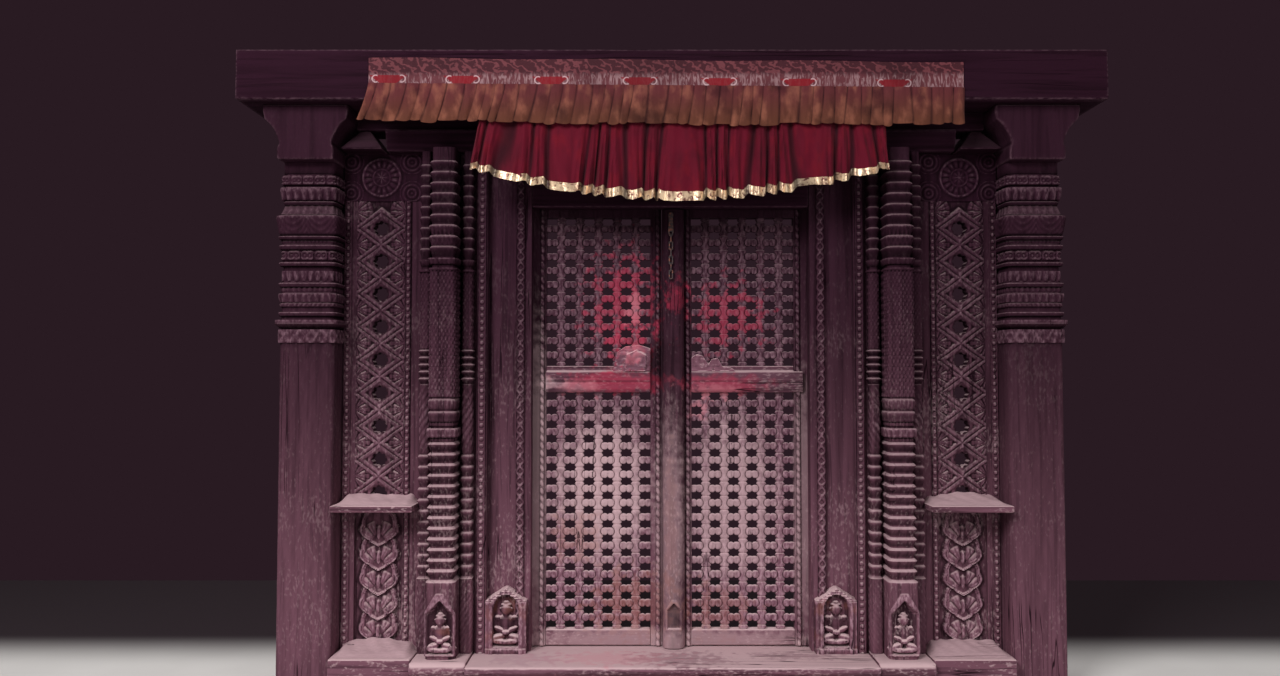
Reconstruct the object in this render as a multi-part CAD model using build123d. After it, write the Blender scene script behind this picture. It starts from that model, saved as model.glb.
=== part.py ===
from build123d import *
import math
import os

# A carved temple doorway of dark timber, with two lattice leaves on wooden pivots, ringed
# colonettes, pierced side panels, carved pillars under a head beam, and a cloth valance.
# Millimetres. X runs to the right, Y into the building and Z up. The origin is at the middle
# of the threshold's underside, in the plane of the leaves' front faces. Right-hand pieces are
# drawn first and mirrored to the left.

# Plan, from the centre of the doorway outwards
OPENING_HALF = 493.0
JAMB_W = 197.0
COLONETTE_W = 190.0
BAY_W = 280.0
PILLAR_W = 195.0
BEAM_OVERHANG = 125.0

# Heights
SILL_TOP = 110.0
LEAF_H = 1573.0
LEAF_GAP = 4.0
HEAD_H = 171.0
LINTEL_H = 77.0
LINTEL_WING = 157.0
CAP_RIDGE = 34.0
FRIEZE_H = 66.0
BEAM_H = 175.0
CAPITAL_H = 191.0
CAPITAL_ARM = 49.0
PLINTH_RISE = 7.0
LEDGE_RISE = 10.0
SHELF_Z = 499.0
SHELF_T = 23.0
MEDALLION_H = 168.0

# Depths, measured forward of the leaves' front faces unless a name says back
FRAME_BACK = 45.0
SILL_BACK = 75.0
SILL_FRONT = 262.0
NOSE_T = 20.0
NOSE_OUT = 15.0
STEP_OUT = 38.0
STEP_H = 62.0
STEP_HALF = 620.0
STEP_SCROLL = 60.0
PLINTH_FRONT = 242.0
BOLSTER_D = 50.0
BOLSTER_OUT = 36.0
LEDGE_FRONT = 204.0
SHELF_FRONT = 200.0
SHELF_HOUSING = 30.0
BAY_FRONT = 60.0
SPINE_FRONT = 70.0
LINTEL_FRONT = 110.0
CAP_FRONT = 150.0
CAP_SLOPE = 60.0
PILLAR_FRONT = 160.0
PILLAR_BACK = 55.0
PILLAR_NECK = 40.0
CARVING_SPREAD = 1.055
CAPITAL_FRONT = 200.0
BEAM_FRONT = 250.0
FRIEZE_FRONT = 90.0

# Jamb mouldings, across the jamb from the opening outwards
LIP = 25.0
REBATE_GAP = 2.0
LIP_GAP = 1.0
JAMB_EDGE_FRONT = 62.0
INNER_BAND_IN = 22.0
INNER_BAND_W = 30.0
INNER_BAND_FRONT = 70.0
HOLLOW_FRONT = 52.0
OUTER_BAND_W = 36.0
OUTER_BAND_IN = 9.0
OUTER_BAND_FRONT = 92.0
OUTER_EDGE_FRONT = 70.0

# Carved niches
NICHE_W = 146.0
NICHE_H = 226.0
NICHE_GABLE = 46.0
NICHE_FRONT = 98.0
NICHE_BACK = 50.0
NICHE_INSET = 9.0
NICHE_BORDER = 20.0
NICHE_CUT = 30.0
BASE_NICHE_W = 80.0
BASE_NICHE_H = 196.0
BASE_NICHE_GABLE = 34.0
BASE_NICHE_CUT = 24.0
BASE_NICHE_Z = 16.0

# Leaves
LEAF_T = 40.0
MEETING_X = -29.5
MEETING_GAP = 3.0
HANGING_STILE_W = 72.0
LEFT_MEETING_W = 39.0
RIGHT_MEETING_W = 104.0
BOTTOM_RAIL_H = 57.4
MID_RAIL_Z = 899.0
MID_RAIL_H = 95.7
TOP_RAIL_H = 42.2
MID_BAND_H = 76.0
MID_BAND_OUT = 20.0
RIGHT_BAND_LAP = 32.0
STRIP_W = 18.0
STRIP_OUT = 5.0
STRIP_EDGE = 4.0
PIVOT_R = 14.0
PIVOT_L = 34.0
PIVOT_CLEARANCE = 0.3
HEAD_LAP = 15.0
PIVOT_RAIL_H = 90.0

# Lattice
UPRIGHT_W = 28.0
UPRIGHT_T = 14.0
UPRIGHT_PITCH = 66.0
CROSSBAR_H = 22.7
CROSSBAR_T = 12.0
CROSSBAR_PITCH = 50.8
LATTICE_RECESS = 4.0

# Centre post and the crests on the middle rails
POST_W = 79.0
POST_OUT = 45.0
POST_NICHE_W = 44.0
POST_NICHE_Z = 68.0
POST_NICHE_H = 86.0
POST_NICHE_CUT = 10.0
LEFT_CREST_W = 136.0
LEFT_CREST_H = 96.0
RIGHT_CREST_W = 160.0
RIGHT_CREST_H = 62.0
CREST_T = 16.0

# Latch
STUD_X = 2.0
STUD_DROP = 27.0
STUD_R = 4.0
STUD_HEAD_R = 9.0
STUD_HEAD_T = 3.0
STUD_SIDE_COUNT = 8
STUD_CLEARANCE = 0.3
HASP_T = 4.0
HASP_L = 74.0
LATCH_OFF = 6.5
LINK_L = 34.0
LINK_W = 15.0
LINK_WIRE = 4.0
LINK_PLAY = 0.3
LINK_COUNT = 6

# Ringed columns
COLUMN_R = 50.0
COLUMN_FRONT = 192.0
COLUMN_CHAMFER = 18.0
LOBE_R = 20.0
LOBE_FRONT = 120.0
LOBE_GAP = 1.0
SPINE_LAP = 10.0
BASE_BLOCK_H = 265.0
LOWER_RING_COUNT = 13
RING_PITCH = 35.8
UPPER_RING_COUNT = 9
UPPER_PITCH = 37.0
RING_DEPTH = 10.0
RING_LIP = 6.0

# Pierced panels beside the colonettes
INNER_STILE_W = 63.0
OUTER_STILE_W = 47.0
PANEL_T = 40.0
BAY_STRIP_OUT = 6.0
STAR_PITCH = 117.0
STAR_R = 25.0
STAR_MARGIN = 4.0
STAR_LOBE_COUNT = 8
DIAMOND_W = 150.0
DIAMOND_H = 100.0
DIAMOND_DEPTH = 12.0
TIER_PITCH = 88.0
TIER_W = 148.0
TIER_H = 116.0
TIER_T = 16.0
TIER_TILT = -7.0
MEDALLION_R = 70.0
MEDALLION_OUT = 14.0

# Valance
VALANCE_X0 = -1026.0
VALANCE_X1 = 987.0
BAND_DROP = 37.0
BAND_H = 103.0
CLOTH_T = 2.5
FRILL_H = 134.0
FRILL_LAP = 16.0
FRILL_FLARE = 38.0
PLEAT_COUNT = 42
PLEAT_DEPTH = 9.0
SKIRT_TOP_X0 = -640.0
SKIRT_TOP_X1 = 724.0
SKIRT_X0 = -690.0
SKIRT_X1 = 737.0
SKIRT_FOLD_COUNT = 22
SKIRT_DEPTH = 12.0
SKIRT_SIDE_H = 229.0
SKIRT_MIDDLE_H = 336.0
TRIM_H = 25.0
HEM_SPAN_COUNT = 6

# Worked out from the sizes above
JAMB_OUT = OPENING_HALF + JAMB_W
BAY_IN = JAMB_OUT + COLONETTE_W
PILLAR_IN = BAY_IN + BAY_W
PILLAR_OUT = PILLAR_IN + PILLAR_W
BEAM_HALF = PILLAR_OUT + BEAM_OVERHANG
LEAF_Z0 = SILL_TOP + LEAF_GAP
LEAF_Z1 = LEAF_Z0 + LEAF_H
HEAD_Z = LEAF_Z1 + LEAF_GAP
LINTEL_Z = HEAD_Z + HEAD_H
FRIEZE_Z = LINTEL_Z + LINTEL_H
BEAM_Z = FRIEZE_Z + FRIEZE_H
BEAM_TOP = BEAM_Z + BEAM_H
CAPITAL_Z = BEAM_Z - CAPITAL_H
PLINTH_TOP = SILL_TOP + PLINTH_RISE
LEDGE_TOP = SILL_TOP + LEDGE_RISE
SHELF_BOTTOM = SILL_TOP + SHELF_Z
SHELF_TOP = SHELF_BOTTOM + SHELF_T
MEDALLION_Z = LINTEL_Z - MEDALLION_H
PANEL_X0 = BAY_IN + INNER_STILE_W
PANEL_X1 = PILLAR_IN - OUTER_STILE_W
PANEL_X = (PANEL_X0 + PANEL_X1) / 2
COLUMN_X = JAMB_OUT + COLONETTE_W / 2
LOBE_OFFSET = COLONETTE_W / 2 - LOBE_R - LOBE_GAP
LEAF_OUT = OPENING_HALF + LIP
PIVOT_X = LEAF_OUT - LEAF_T / 2
PIVOT_Y = LEAF_T / 2
FAR = 400.0


def block(x0, x1, y0, y1, z0, z1):
    """A squared timber between two corners."""
    middle = Pos((x0 + x1) / 2, (y0 + y1) / 2, (z0 + z1) / 2)
    return middle * Box(x1 - x0, y1 - y0, z1 - z0)


def prism_x(points, x0, x1):
    """An outline of Y, Z points run along X."""
    return extrude(Plane.YZ.offset(x0) * Polygon(*points, align=None), x1 - x0, dir=(1, 0, 0))


def prism_y(points, y0, y1):
    """An outline of X, Z points run along Y."""
    return extrude(Plane.XZ.offset(-y0) * Polygon(*points, align=None), y1 - y0, dir=(0, 1, 0))


def prism_z(points, z0, z1):
    """An outline of X, Y points run along Z."""
    return extrude(Plane.XY.offset(z0) * Polygon(*points, align=None), z1 - z0, dir=(0, 0, 1))


def to_left(part):
    """The left-hand twin of a right-hand piece."""
    return mirror(part, about=Plane.YZ)


def spread(start, end, member, pitch):
    """Centres of evenly spaced members between two faces, at about the given pitch."""
    openings = max(1, round((end - start + member) / pitch))
    step = (end - start + member) / openings
    return [start - member / 2 + step * (i + 1) for i in range(openings - 1)]


def gable(x, width, z0, height, rise):
    """Outline of a niche with a pointed top: X, Z points."""
    half = width / 2
    eaves = z0 + height - rise
    return [(x - half, z0), (x + half, z0), (x + half, eaves), (x, z0 + height), (x - half, eaves)]


def profile(z, radius, steps):
    """Profile points (radius, height) from a start and a list of (rise, next radius)."""
    points = [(radius, z)]
    for rise, radius in steps:
        z += rise
        points.append((radius, z))
    return points


def rings(count, pitch, radius, depth=RING_DEPTH, lip=RING_LIP):
    """Steps of rolls one above another, each hollowed in below its upper lip."""
    waist = radius - depth
    return [(pitch - lip, radius), (lip, waist)] * count


def moulded(points, x, y, angle, back=FAR):
    """All that lies inside a moulded profile, seen across one direction in plan."""
    ux, uy = math.cos(math.radians(angle)), math.sin(math.radians(angle))
    plane = Plane(origin=(x, y, 0), x_dir=(ux, uy, 0), z_dir=(uy, -ux, 0))
    outline = [(-back, points[0][1])] + points + [(-back, points[-1][1])]
    return extrude(plane * Polygon(*outline, align=None), FAR, both=True)


def main_column():
    """Square column with chamfered front corners and the same rolls on each face."""
    x, y, points = COLUMN_X, -COLUMN_FRONT + COLUMN_R, column_profile()
    corner = [((2 * r - COLUMN_CHAMFER) / math.sqrt(2), z) for r, z in points]
    shape = moulded(points, x, y, 0) & moulded(points, x, y, 180) & moulded(points, x, y, -90)
    return shape & moulded(corner, x, y, -45) & moulded(corner, x, y, -135)


def side_lobe(side):
    """Slim column beside the main one, worked on its front and on the face away from it."""
    x, y, points = COLUMN_X + side * LOBE_OFFSET, -LOBE_FRONT + LOBE_R, lobe_profile()
    outward = 0 if side > 0 else 180
    inner, outer = sorted((x - side * LOBE_R, x + side * FAR))
    shape = moulded(points, x, y, outward) & moulded(points, x, y, -90)
    return shape & block(inner, outer, -FAR, FAR, 0, BEAM_TOP)


def seated_figure(x, y, z0, height, depth):
    """A plain seated figure: crossed legs, body, arms and a round head, facing the front."""
    w = height * 0.36
    legs = [(x - w, z0), (x + w, z0), (x + w * 0.86, z0 + height * 0.24),
            (x, z0 + height * 0.3), (x - w * 0.86, z0 + height * 0.24)]
    body = [(x - w * 0.5, z0 + height * 0.2), (x + w * 0.5, z0 + height * 0.2),
            (x + w * 0.78, z0 + height * 0.58), (x + w * 0.3, z0 + height * 0.68),
            (x - w * 0.3, z0 + height * 0.68), (x - w * 0.78, z0 + height * 0.58)]
    head = Plane.XZ.offset(-y) * Pos(x, z0 + height * 0.8) * RegularPolygon(height * 0.17, 8)
    figure = prism_y(legs, y - depth, y) + prism_y(body, y - depth * 0.66, y)
    return figure + extrude(head, depth * 0.8)


def make_threshold():
    """Sill with a moulded nose and a round socket for each leaf's bottom pivot."""
    front, body = -SILL_FRONT, -SILL_FRONT + NOSE_OUT
    outline = [(SILL_BACK, 0), (SILL_BACK, SILL_TOP), (front, SILL_TOP),
               (front, SILL_TOP - NOSE_T), (body, SILL_TOP - NOSE_T - NOSE_OUT), (body, 0)]
    sill = prism_x(outline, -JAMB_OUT, JAMB_OUT)
    depth = PIVOT_L + PIVOT_CLEARANCE - LEAF_GAP
    for x in (-PIVOT_X, PIVOT_X):
        sill -= Pos(x, PIVOT_Y, SILL_TOP - depth / 2) * Cylinder(PIVOT_R + PIVOT_CLEARANCE, depth)
    return sill


def make_threshold_step():
    """Apron in front of the sill, with its ends cut to a falling curve."""
    y1 = -SILL_FRONT + NOSE_OUT
    ends = [(STEP_HALF, 0), (STEP_HALF, STEP_H * 0.3), (STEP_HALF - STEP_SCROLL * 0.23, STEP_H * 0.62),
            (STEP_HALF - STEP_SCROLL * 0.63, STEP_H * 0.9), (STEP_HALF - STEP_SCROLL, STEP_H)]
    outline = ends + [(-x, z) for x, z in reversed(ends)]
    return prism_y(outline, y1 - NOSE_OUT - STEP_OUT, y1)


def make_plinth():
    """Block under a colonette, its top worked to a rounded bolster."""
    top, front, d = PLINTH_TOP, -PLINTH_FRONT, BOLSTER_D
    bolster = [(0.4, 0), (0.12, 0.18), (0, 0.5), (0.12, 0.82), (0.4, 1)]
    outline = [(FRAME_BACK, 0), (FRAME_BACK, top)]
    outline += [(front + d * y, top - d * z) for y, z in bolster]
    outline += [(front + BOLSTER_OUT, top - d), (front + BOLSTER_OUT, 0)]
    return prism_x(outline, JAMB_OUT, BAY_IN)


def make_ledge():
    """Base ledge between a plinth and a pillar."""
    return block(BAY_IN, PILLAR_IN, -LEDGE_FRONT, FRAME_BACK, 0, LEDGE_TOP)


def niche_outline():
    """Outline of the niche block at the foot of a jamb: X, Z points."""
    x = OPENING_HALF + NICHE_INSET + NICHE_W / 2
    return gable(x, NICHE_W, SILL_TOP, NICHE_H, NICHE_GABLE)


def make_jamb():
    """Moulded jamb: plain edge, two bead bands with a hollow between, and a rebate behind."""
    a0 = OPENING_HALF + INNER_BAND_IN
    a1 = a0 + INNER_BAND_W
    b1 = JAMB_OUT - OUTER_BAND_IN
    b0 = b1 - OUTER_BAND_W
    plan = [(OPENING_HALF, -LIP_GAP), (OPENING_HALF, -JAMB_EDGE_FRONT), (a0, -JAMB_EDGE_FRONT),
            (a0 + 4, -INNER_BAND_FRONT), (a1 - 4, -INNER_BAND_FRONT), (a1, -HOLLOW_FRONT),
            (b0, -HOLLOW_FRONT), (b0, -OUTER_BAND_FRONT + 6), (b0 + 6, -OUTER_BAND_FRONT),
            (b1 - 6, -OUTER_BAND_FRONT), (b1, -OUTER_BAND_FRONT + 6), (b1, -OUTER_EDGE_FRONT),
            (JAMB_OUT, -OUTER_EDGE_FRONT), (JAMB_OUT, -LIP_GAP)]
    jamb = prism_z(plan, SILL_TOP, LINTEL_Z)
    jamb += block(LEAF_OUT + REBATE_GAP, JAMB_OUT, -LIP_GAP, FRAME_BACK, SILL_TOP, HEAD_Z)
    return jamb - prism_y(niche_outline(), -OUTER_BAND_FRONT, -NICHE_BACK)


def make_jamb_niche():
    """Gabled block with a seated figure in a pointed recess."""
    x = OPENING_HALF + NICHE_INSET + NICHE_W / 2
    niche = prism_y(niche_outline(), -NICHE_FRONT, -NICHE_BACK)
    width = NICHE_W - 2 * NICHE_BORDER
    height = NICHE_H - 2 * NICHE_BORDER
    z0 = SILL_TOP + NICHE_BORDER
    floor = -NICHE_FRONT + NICHE_CUT
    niche -= prism_y(gable(x, width, z0, height, NICHE_GABLE), -NICHE_FRONT, floor)
    return niche + seated_figure(x, floor, z0, height * 0.82, NICHE_CUT * 0.8)


def column_profile():
    """Main column of a colonette, from its base block to the lintel."""
    r, waist = COLUMN_R, COLUMN_R - RING_DEPTH
    top = LINTEL_Z - PLINTH_TOP
    lower = LOWER_RING_COUNT * RING_PITCH
    upper = UPPER_RING_COUNT * UPPER_PITCH
    cap = [(16, waist + 2), (30, r + 3), (6, waist), (16, waist + 2)]
    bands = rings(2, 42.0, r, 6.0)
    neck = [(8, r), (12, waist), (22, r), (6, waist)]
    steps = [(BASE_BLOCK_H - 8, r + 2), (8, waist)] + rings(LOWER_RING_COUNT, RING_PITCH, r)
    steps += cap + bands
    used = BASE_BLOCK_H + lower + sum(rise for rise, _ in cap + bands)
    head = upper + sum(rise for rise, _ in neck)
    crown = 46.0
    steps += [(top - used - head - crown, r - 4)] + neck
    steps += rings(UPPER_RING_COUNT, UPPER_PITCH, r - 1) + [(crown, waist)]
    return profile(PLINTH_TOP, r + 2, steps)


def lobe_profile():
    """Slim side column of a colonette, with three groups of rolls."""
    r, waist = LOBE_R, LOBE_R - 6
    top = LINTEL_Z - PLINTH_TOP
    low = rings(11, 38.0, r, 6.0)
    mid = rings(5, 24.4, r, 6.0)
    neck = [(8, r), (12, waist), (22, r), (6, waist)]
    upper = rings(UPPER_RING_COUNT, UPPER_PITCH, r - 1, 6.0)
    crown = 46.0
    plain = 243.0
    steps = [(BASE_BLOCK_H - 10, r), (10, waist)] + low + [(plain, waist)] + mid
    used = sum(rise for rise, _ in steps + neck + upper) + crown
    steps += [(top - used, waist + 2)] + neck + upper + [(crown, waist)]
    return profile(PLINTH_TOP, r, steps)


def make_colonette():
    """Spine board with a ringed main column and a slim lobe each side of it."""
    piece = block(JAMB_OUT, BAY_IN, -SPINE_FRONT, FRAME_BACK, PLINTH_TOP, LINTEL_Z)
    front = block(0, PILLAR_IN, -FAR, -SPINE_FRONT + SPINE_LAP, 0, BEAM_TOP)
    for shape in (main_column(), side_lobe(-1), side_lobe(1)):
        piece += shape & front
    z0 = PLINTH_TOP + BASE_NICHE_Z
    face = -COLUMN_FRONT - 2
    floor = face + BASE_NICHE_CUT
    niche = gable(COLUMN_X, BASE_NICHE_W, z0, BASE_NICHE_H, BASE_NICHE_GABLE)
    piece -= prism_y(niche, face, floor)
    return piece + seated_figure(COLUMN_X, floor, z0, BASE_NICHE_H * 0.8, BASE_NICHE_CUT * 0.8)


def shelf_space():
    """The space of a shelf board, which the bay's stiles are cut for."""
    return block(BAY_IN, PILLAR_IN, -SHELF_FRONT, -SHELF_HOUSING, SHELF_BOTTOM, SHELF_TOP)


def make_bay_stiles():
    """The two stiles of a side bay, each with a raised strip, housed for the shelf."""
    stiles = []
    for x0, x1, s0, s1 in ((BAY_IN, PANEL_X0, PANEL_X0 - 24, PANEL_X0 - 3),
                           (PANEL_X1, PILLAR_IN, PANEL_X1 + 14, PILLAR_IN - 1)):
        front, strip = -BAY_FRONT, -BAY_FRONT - BAY_STRIP_OUT
        plan = [(x0, FRAME_BACK), (x0, front), (s0, front), (s0 + 4, strip), (s1 - 4, strip),
                (s1, front), (x1, front), (x1, FRAME_BACK)]
        stiles.append(prism_z(plan, LEDGE_TOP, MEDALLION_Z) - shelf_space())
    return Compound(children=stiles)


def diamond(x, z):
    """Outline of the sunk diamond round a star: X, Z points."""
    w, h = DIAMOND_W / 2, DIAMOND_H / 2
    return [(x + w, z), (x, z + h), (x - w, z), (x, z - h)]


def make_lozenge_panel():
    """Panel with a row of sunk diamonds, each pierced by an eight-sided star."""
    front = -BAY_FRONT
    panel = block(PANEL_X0, PANEL_X1, front, front + PANEL_T, SHELF_TOP, MEDALLION_Z)
    count = max(1, int((MEDALLION_Z - SHELF_TOP) / STAR_PITCH))
    start = SHELF_TOP + STAR_R + STAR_MARGIN
    cuts = []
    for i in range(count):
        z = start + i * STAR_PITCH
        cuts.append(prism_y(diamond(PANEL_X, z), front, front + DIAMOND_DEPTH))
        star = Plane.XZ.offset(-front) * Pos(PANEL_X, z) * RegularPolygon(STAR_R, STAR_LOBE_COUNT)
        cuts.append(extrude(star, PANEL_T, dir=(0, 1, 0)))
    return panel - cuts


def leaf_tier(z):
    """One tier of foliage: a rounded shell with a wing each side, its tip tilted forward."""
    w, h = TIER_W / 2, TIER_H
    half = [(w * 0.6, 0), (w, -h * 0.24), (w * 0.9, -h * 0.5), (w * 0.36, -h * 0.9)]
    outline = half + [(0, -h)] + [(-x, z) for x, z in reversed(half)]
    plate = prism_y(outline, 0, TIER_T)
    return Pos(PANEL_X, -BAY_FRONT - 1, z) * Rot(TIER_TILT, 0, 0) * plate


def make_foliage_panel():
    """Panel with overlapping tiers of shell-shaped leaves, from the top down."""
    front, top = -BAY_FRONT, SHELF_BOTTOM
    panel = block(PANEL_X0, PANEL_X1, front, front + PANEL_T, LEDGE_TOP, top)
    count = max(1, int((top - LEDGE_TOP - 10) / TIER_PITCH))
    for i in range(count):
        panel += leaf_tier(top - 8 - i * TIER_PITCH)
    return panel


def make_shelf():
    """Shelf board across a bay, let into the stiles."""
    return shelf_space()


def make_medallion_board():
    """Board over a pierced panel, with a round medallion in two steps."""
    board = block(BAY_IN, PILLAR_IN, -BAY_FRONT, FRAME_BACK, MEDALLION_Z, LINTEL_Z)
    z = MEDALLION_Z + MEDALLION_H * 0.5
    for radius, out in ((MEDALLION_R, MEDALLION_OUT * 0.5), (MEDALLION_R * 0.6, MEDALLION_OUT)):
        disc = Plane.XZ.offset(BAY_FRONT) * Pos(PANEL_X, z) * RegularPolygon(radius, 16)
        board += extrude(disc, out)
    return board


def make_lintel():
    """Lintel with three stepped mouldings."""
    f, h = -LINTEL_FRONT, LINTEL_H
    outline = [(FRAME_BACK, 0), (FRAME_BACK, h), (f - 14, h), (f - 14, h * 0.86),
               (f - 6, h * 0.72), (f - 6, h * 0.54), (f, h * 0.46), (f, h * 0.3),
               (f + 8, h * 0.22), (f + 8, 0)]
    half = PILLAR_IN - LINTEL_WING
    return prism_x([(y, LINTEL_Z + z) for y, z in outline], -half, half)


def make_lintel_cap():
    """Hipped block that closes the lintel over a side bay."""
    x0, x1 = PILLAR_IN - LINTEL_WING, PILLAR_IN - 3
    middle, ridge = (x0 + x1) / 2, CAP_RIDGE / 2
    z0, z1 = LINTEL_Z, LINTEL_Z + LINTEL_H
    front = [(x0, z0), (x1, z0), (middle + ridge, z1), (middle - ridge, z1)]
    side = [(FRAME_BACK, z0), (FRAME_BACK, z1), (-CAP_FRONT + CAP_SLOPE, z1), (-CAP_FRONT, z0)]
    return prism_y(front, -CAP_FRONT, FRAME_BACK) & prism_x(side, x0, x1)


def make_door_head():
    """Board over the leaves, lapping their top edges in front."""
    return block(-OPENING_HALF, OPENING_HALF, -JAMB_EDGE_FRONT, -LIP_GAP,
                 LEAF_Z1 - HEAD_LAP, LINTEL_Z)


def make_pivot_rail():
    """Rail behind the head, with the sockets of the leaves' top pivots."""
    rail = block(-JAMB_OUT, JAMB_OUT, -LIP_GAP, FRAME_BACK, HEAD_Z, HEAD_Z + PIVOT_RAIL_H)
    depth = PIVOT_L + PIVOT_CLEARANCE - LEAF_GAP
    for x in (-PIVOT_X, PIVOT_X):
        rail -= Pos(x, PIVOT_Y, HEAD_Z + depth / 2) * Cylinder(PIVOT_R + PIVOT_CLEARANCE, depth)
    return rail


def make_frieze():
    """Plain board between the lintel and the head beam."""
    half = PILLAR_IN - CAPITAL_ARM
    return block(-half, half, -FRIEZE_FRONT, FRAME_BACK, FRIEZE_Z, BEAM_Z)


def pillar_profile():
    """Carved upper part of a pillar, hung from its top, over a plain shaft."""
    r = PILLAR_W / 2
    carved = [(4, r + 4), (40, r + 4), (4, r), (2, r + 2), (14, r + 16), (12, r + 16), (4, r),
              (8, r), (3, r + 7), (12, r + 7), (3, r), (14, r), (2, r + 4), (12, r + 4),
              (3, r + 1), (28, r + 5), (3, r), (18, r), (3, r + 8), (8, r + 8), (3, r),
              (36, r + 3), (3, r - 2), (16, r - 2), (3, r + 8), (6, r + 8), (4, r - 4),
              (38, r - 4), (3, r + 8), (12, r + 8), (3, r + 1), (12, r + 1), (4, r + 10),
              (10, r + 10), (4, r + 2), (6, r + 16), (56, r + 16), (6, r + 4), (30, r - 14),
              (3, r - 4), (8, r - 4), (3, r - 6), (22, r + 6), (20, r + 4), (8, r - 8),
              (3, r + 3), (28, r + 3), (4, r - 6)]
    carved = [(rise * CARVING_SPREAD, radius) for rise, radius in carved]
    shaft = CAPITAL_Z - PILLAR_NECK - sum(rise for rise, _ in carved)
    return profile(0, r, [(shaft, r)] + carved + [(PILLAR_NECK, r - 6)])


def make_pillar():
    """Square pillar with a carved head; its bands stop where the side bay meets it."""
    x, y = PILLAR_IN + PILLAR_W / 2, -PILLAR_FRONT + PILLAR_W / 2
    points = pillar_profile()
    pillar = moulded(points, x, y, 0) & moulded(points, x, y, 180)
    pillar &= moulded(points, x, y, -90, back=PILLAR_BACK - y)
    return pillar - block(PILLAR_IN - FAR, PILLAR_IN, -BAY_FRONT - BAY_STRIP_OUT, FAR, 0, BEAM_TOP)


def make_capital():
    """Bracket capital: an abacus, a curved neck and two arms that carry the beam."""
    r, h, arm = PILLAR_W / 2, CAPITAL_H, CAPITAL_ARM
    side = [(r, 0), (r, h * 0.22), (r - 8, h * 0.3), (r, h * 0.44), (r + arm * 0.4, h * 0.62),
            (r + arm * 0.9, h * 0.74), (r + arm, h * 0.86), (r + arm, h)]
    x = PILLAR_IN + r
    outline = [(x + a, CAPITAL_Z + z) for a, z in side]
    outline += [(x - a, CAPITAL_Z + z) for a, z in reversed(side)]
    return prism_y(outline, -CAPITAL_FRONT, PILLAR_BACK)


def make_head_beam():
    """Beam over both pillars."""
    return block(-BEAM_HALF, BEAM_HALF, -BEAM_FRONT, PILLAR_BACK, BEAM_Z, BEAM_TOP)


def folded(x0, x1, count, depth, lean):
    """Plan of a folded cloth: X, Y points along its front and back along its back."""
    step = (x1 - x0) / count
    line = []
    for i in range(count):
        line += [(x0 + step * i, 0), (x0 + step * (i + lean), -depth)]
    line.append((x1, 0))
    return line + [(x, y + CLOTH_T) for x, y in reversed(line)]


def make_valance_band():
    """Brocade band nailed along the front of the beam."""
    z1 = BEAM_TOP - BAND_DROP
    z0 = z1 - BAND_H
    return block(VALANCE_X0, VALANCE_X1, -BEAM_FRONT - CLOTH_T, -BEAM_FRONT, z0, z1)


def make_valance_frill():
    """Pleated frill sewn over the lower edge of the band, flaring at its left end."""
    z1 = BEAM_TOP - BAND_DROP - BAND_H + FRILL_LAP
    z0 = z1 - FRILL_H
    y = -BEAM_FRONT - 2 * CLOTH_T
    plan = folded(VALANCE_X0 - FRILL_FLARE, VALANCE_X1 + 4, PLEAT_COUNT, PLEAT_DEPTH, 0.85)
    cloth = prism_z([(a, y + b) for a, b in plan], z0, z1)
    corner = [(VALANCE_X0 - FRILL_FLARE - 1, z0 + 30), (VALANCE_X0 - FRILL_FLARE - 1, z1 + 1),
              (VALANCE_X0, z1 + 1), (VALANCE_X0, z1 - 20)]
    return cloth - prism_y(corner, y - FAR, y + FAR)


def skirt_hem(drop):
    """Outline of the gathered skirt with its hem raised by a given amount: X, Z points."""
    z = BEAM_Z
    x = (SKIRT_X0 + SKIRT_X1) / 2
    half = (SKIRT_X1 - SKIRT_X0) / 2
    points = [(SKIRT_TOP_X1, z), (SKIRT_TOP_X0, z)]
    for i in range(HEM_SPAN_COUNT + 1):
        u = -1 + 2 * i / HEM_SPAN_COUNT
        sag = SKIRT_MIDDLE_H - (SKIRT_MIDDLE_H - SKIRT_SIDE_H) * u * u
        points.append((x + half * u, z - sag + drop))
    return points


def skirt_cloth():
    """The whole folded cloth of the skirt before its hem is cut."""
    plan = folded(SKIRT_X0 - 5, SKIRT_X1 + 5, SKIRT_FOLD_COUNT, SKIRT_DEPTH, 0.4)
    y = -BEAM_FRONT + SKIRT_DEPTH
    return prism_z([(a, y + b) for a, b in plan], BEAM_Z - SKIRT_MIDDLE_H - 5, BEAM_Z)


def make_valance_skirt():
    """Gathered skirt that hangs from the beam's underside behind the frill."""
    return skirt_cloth() & prism_y(skirt_hem(TRIM_H), -BEAM_FRONT - FAR, FAR)


def make_valance_trim():
    """Foil trim along the hem of the skirt."""
    cloth = skirt_cloth() & prism_y(skirt_hem(0), -BEAM_FRONT - FAR, FAR)
    return cloth - prism_y(skirt_hem(TRIM_H), -BEAM_FRONT - FAR, FAR)


def stile_with_strip(x0, x1, s0):
    """A leaf stile with a raised strip that starts at s0 and stops below the head's lap."""
    s1, top = s0 + STRIP_W, LEAF_Z1 - HEAD_LAP - LEAF_GAP
    strip = [(s0, 0), (s0 + 4, -STRIP_OUT), (s1 - 4, -STRIP_OUT), (s1, 0)]
    return block(x0, x1, 0, LEAF_T, LEAF_Z0, LEAF_Z1) + prism_z(strip, LEAF_Z0, top)


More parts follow.
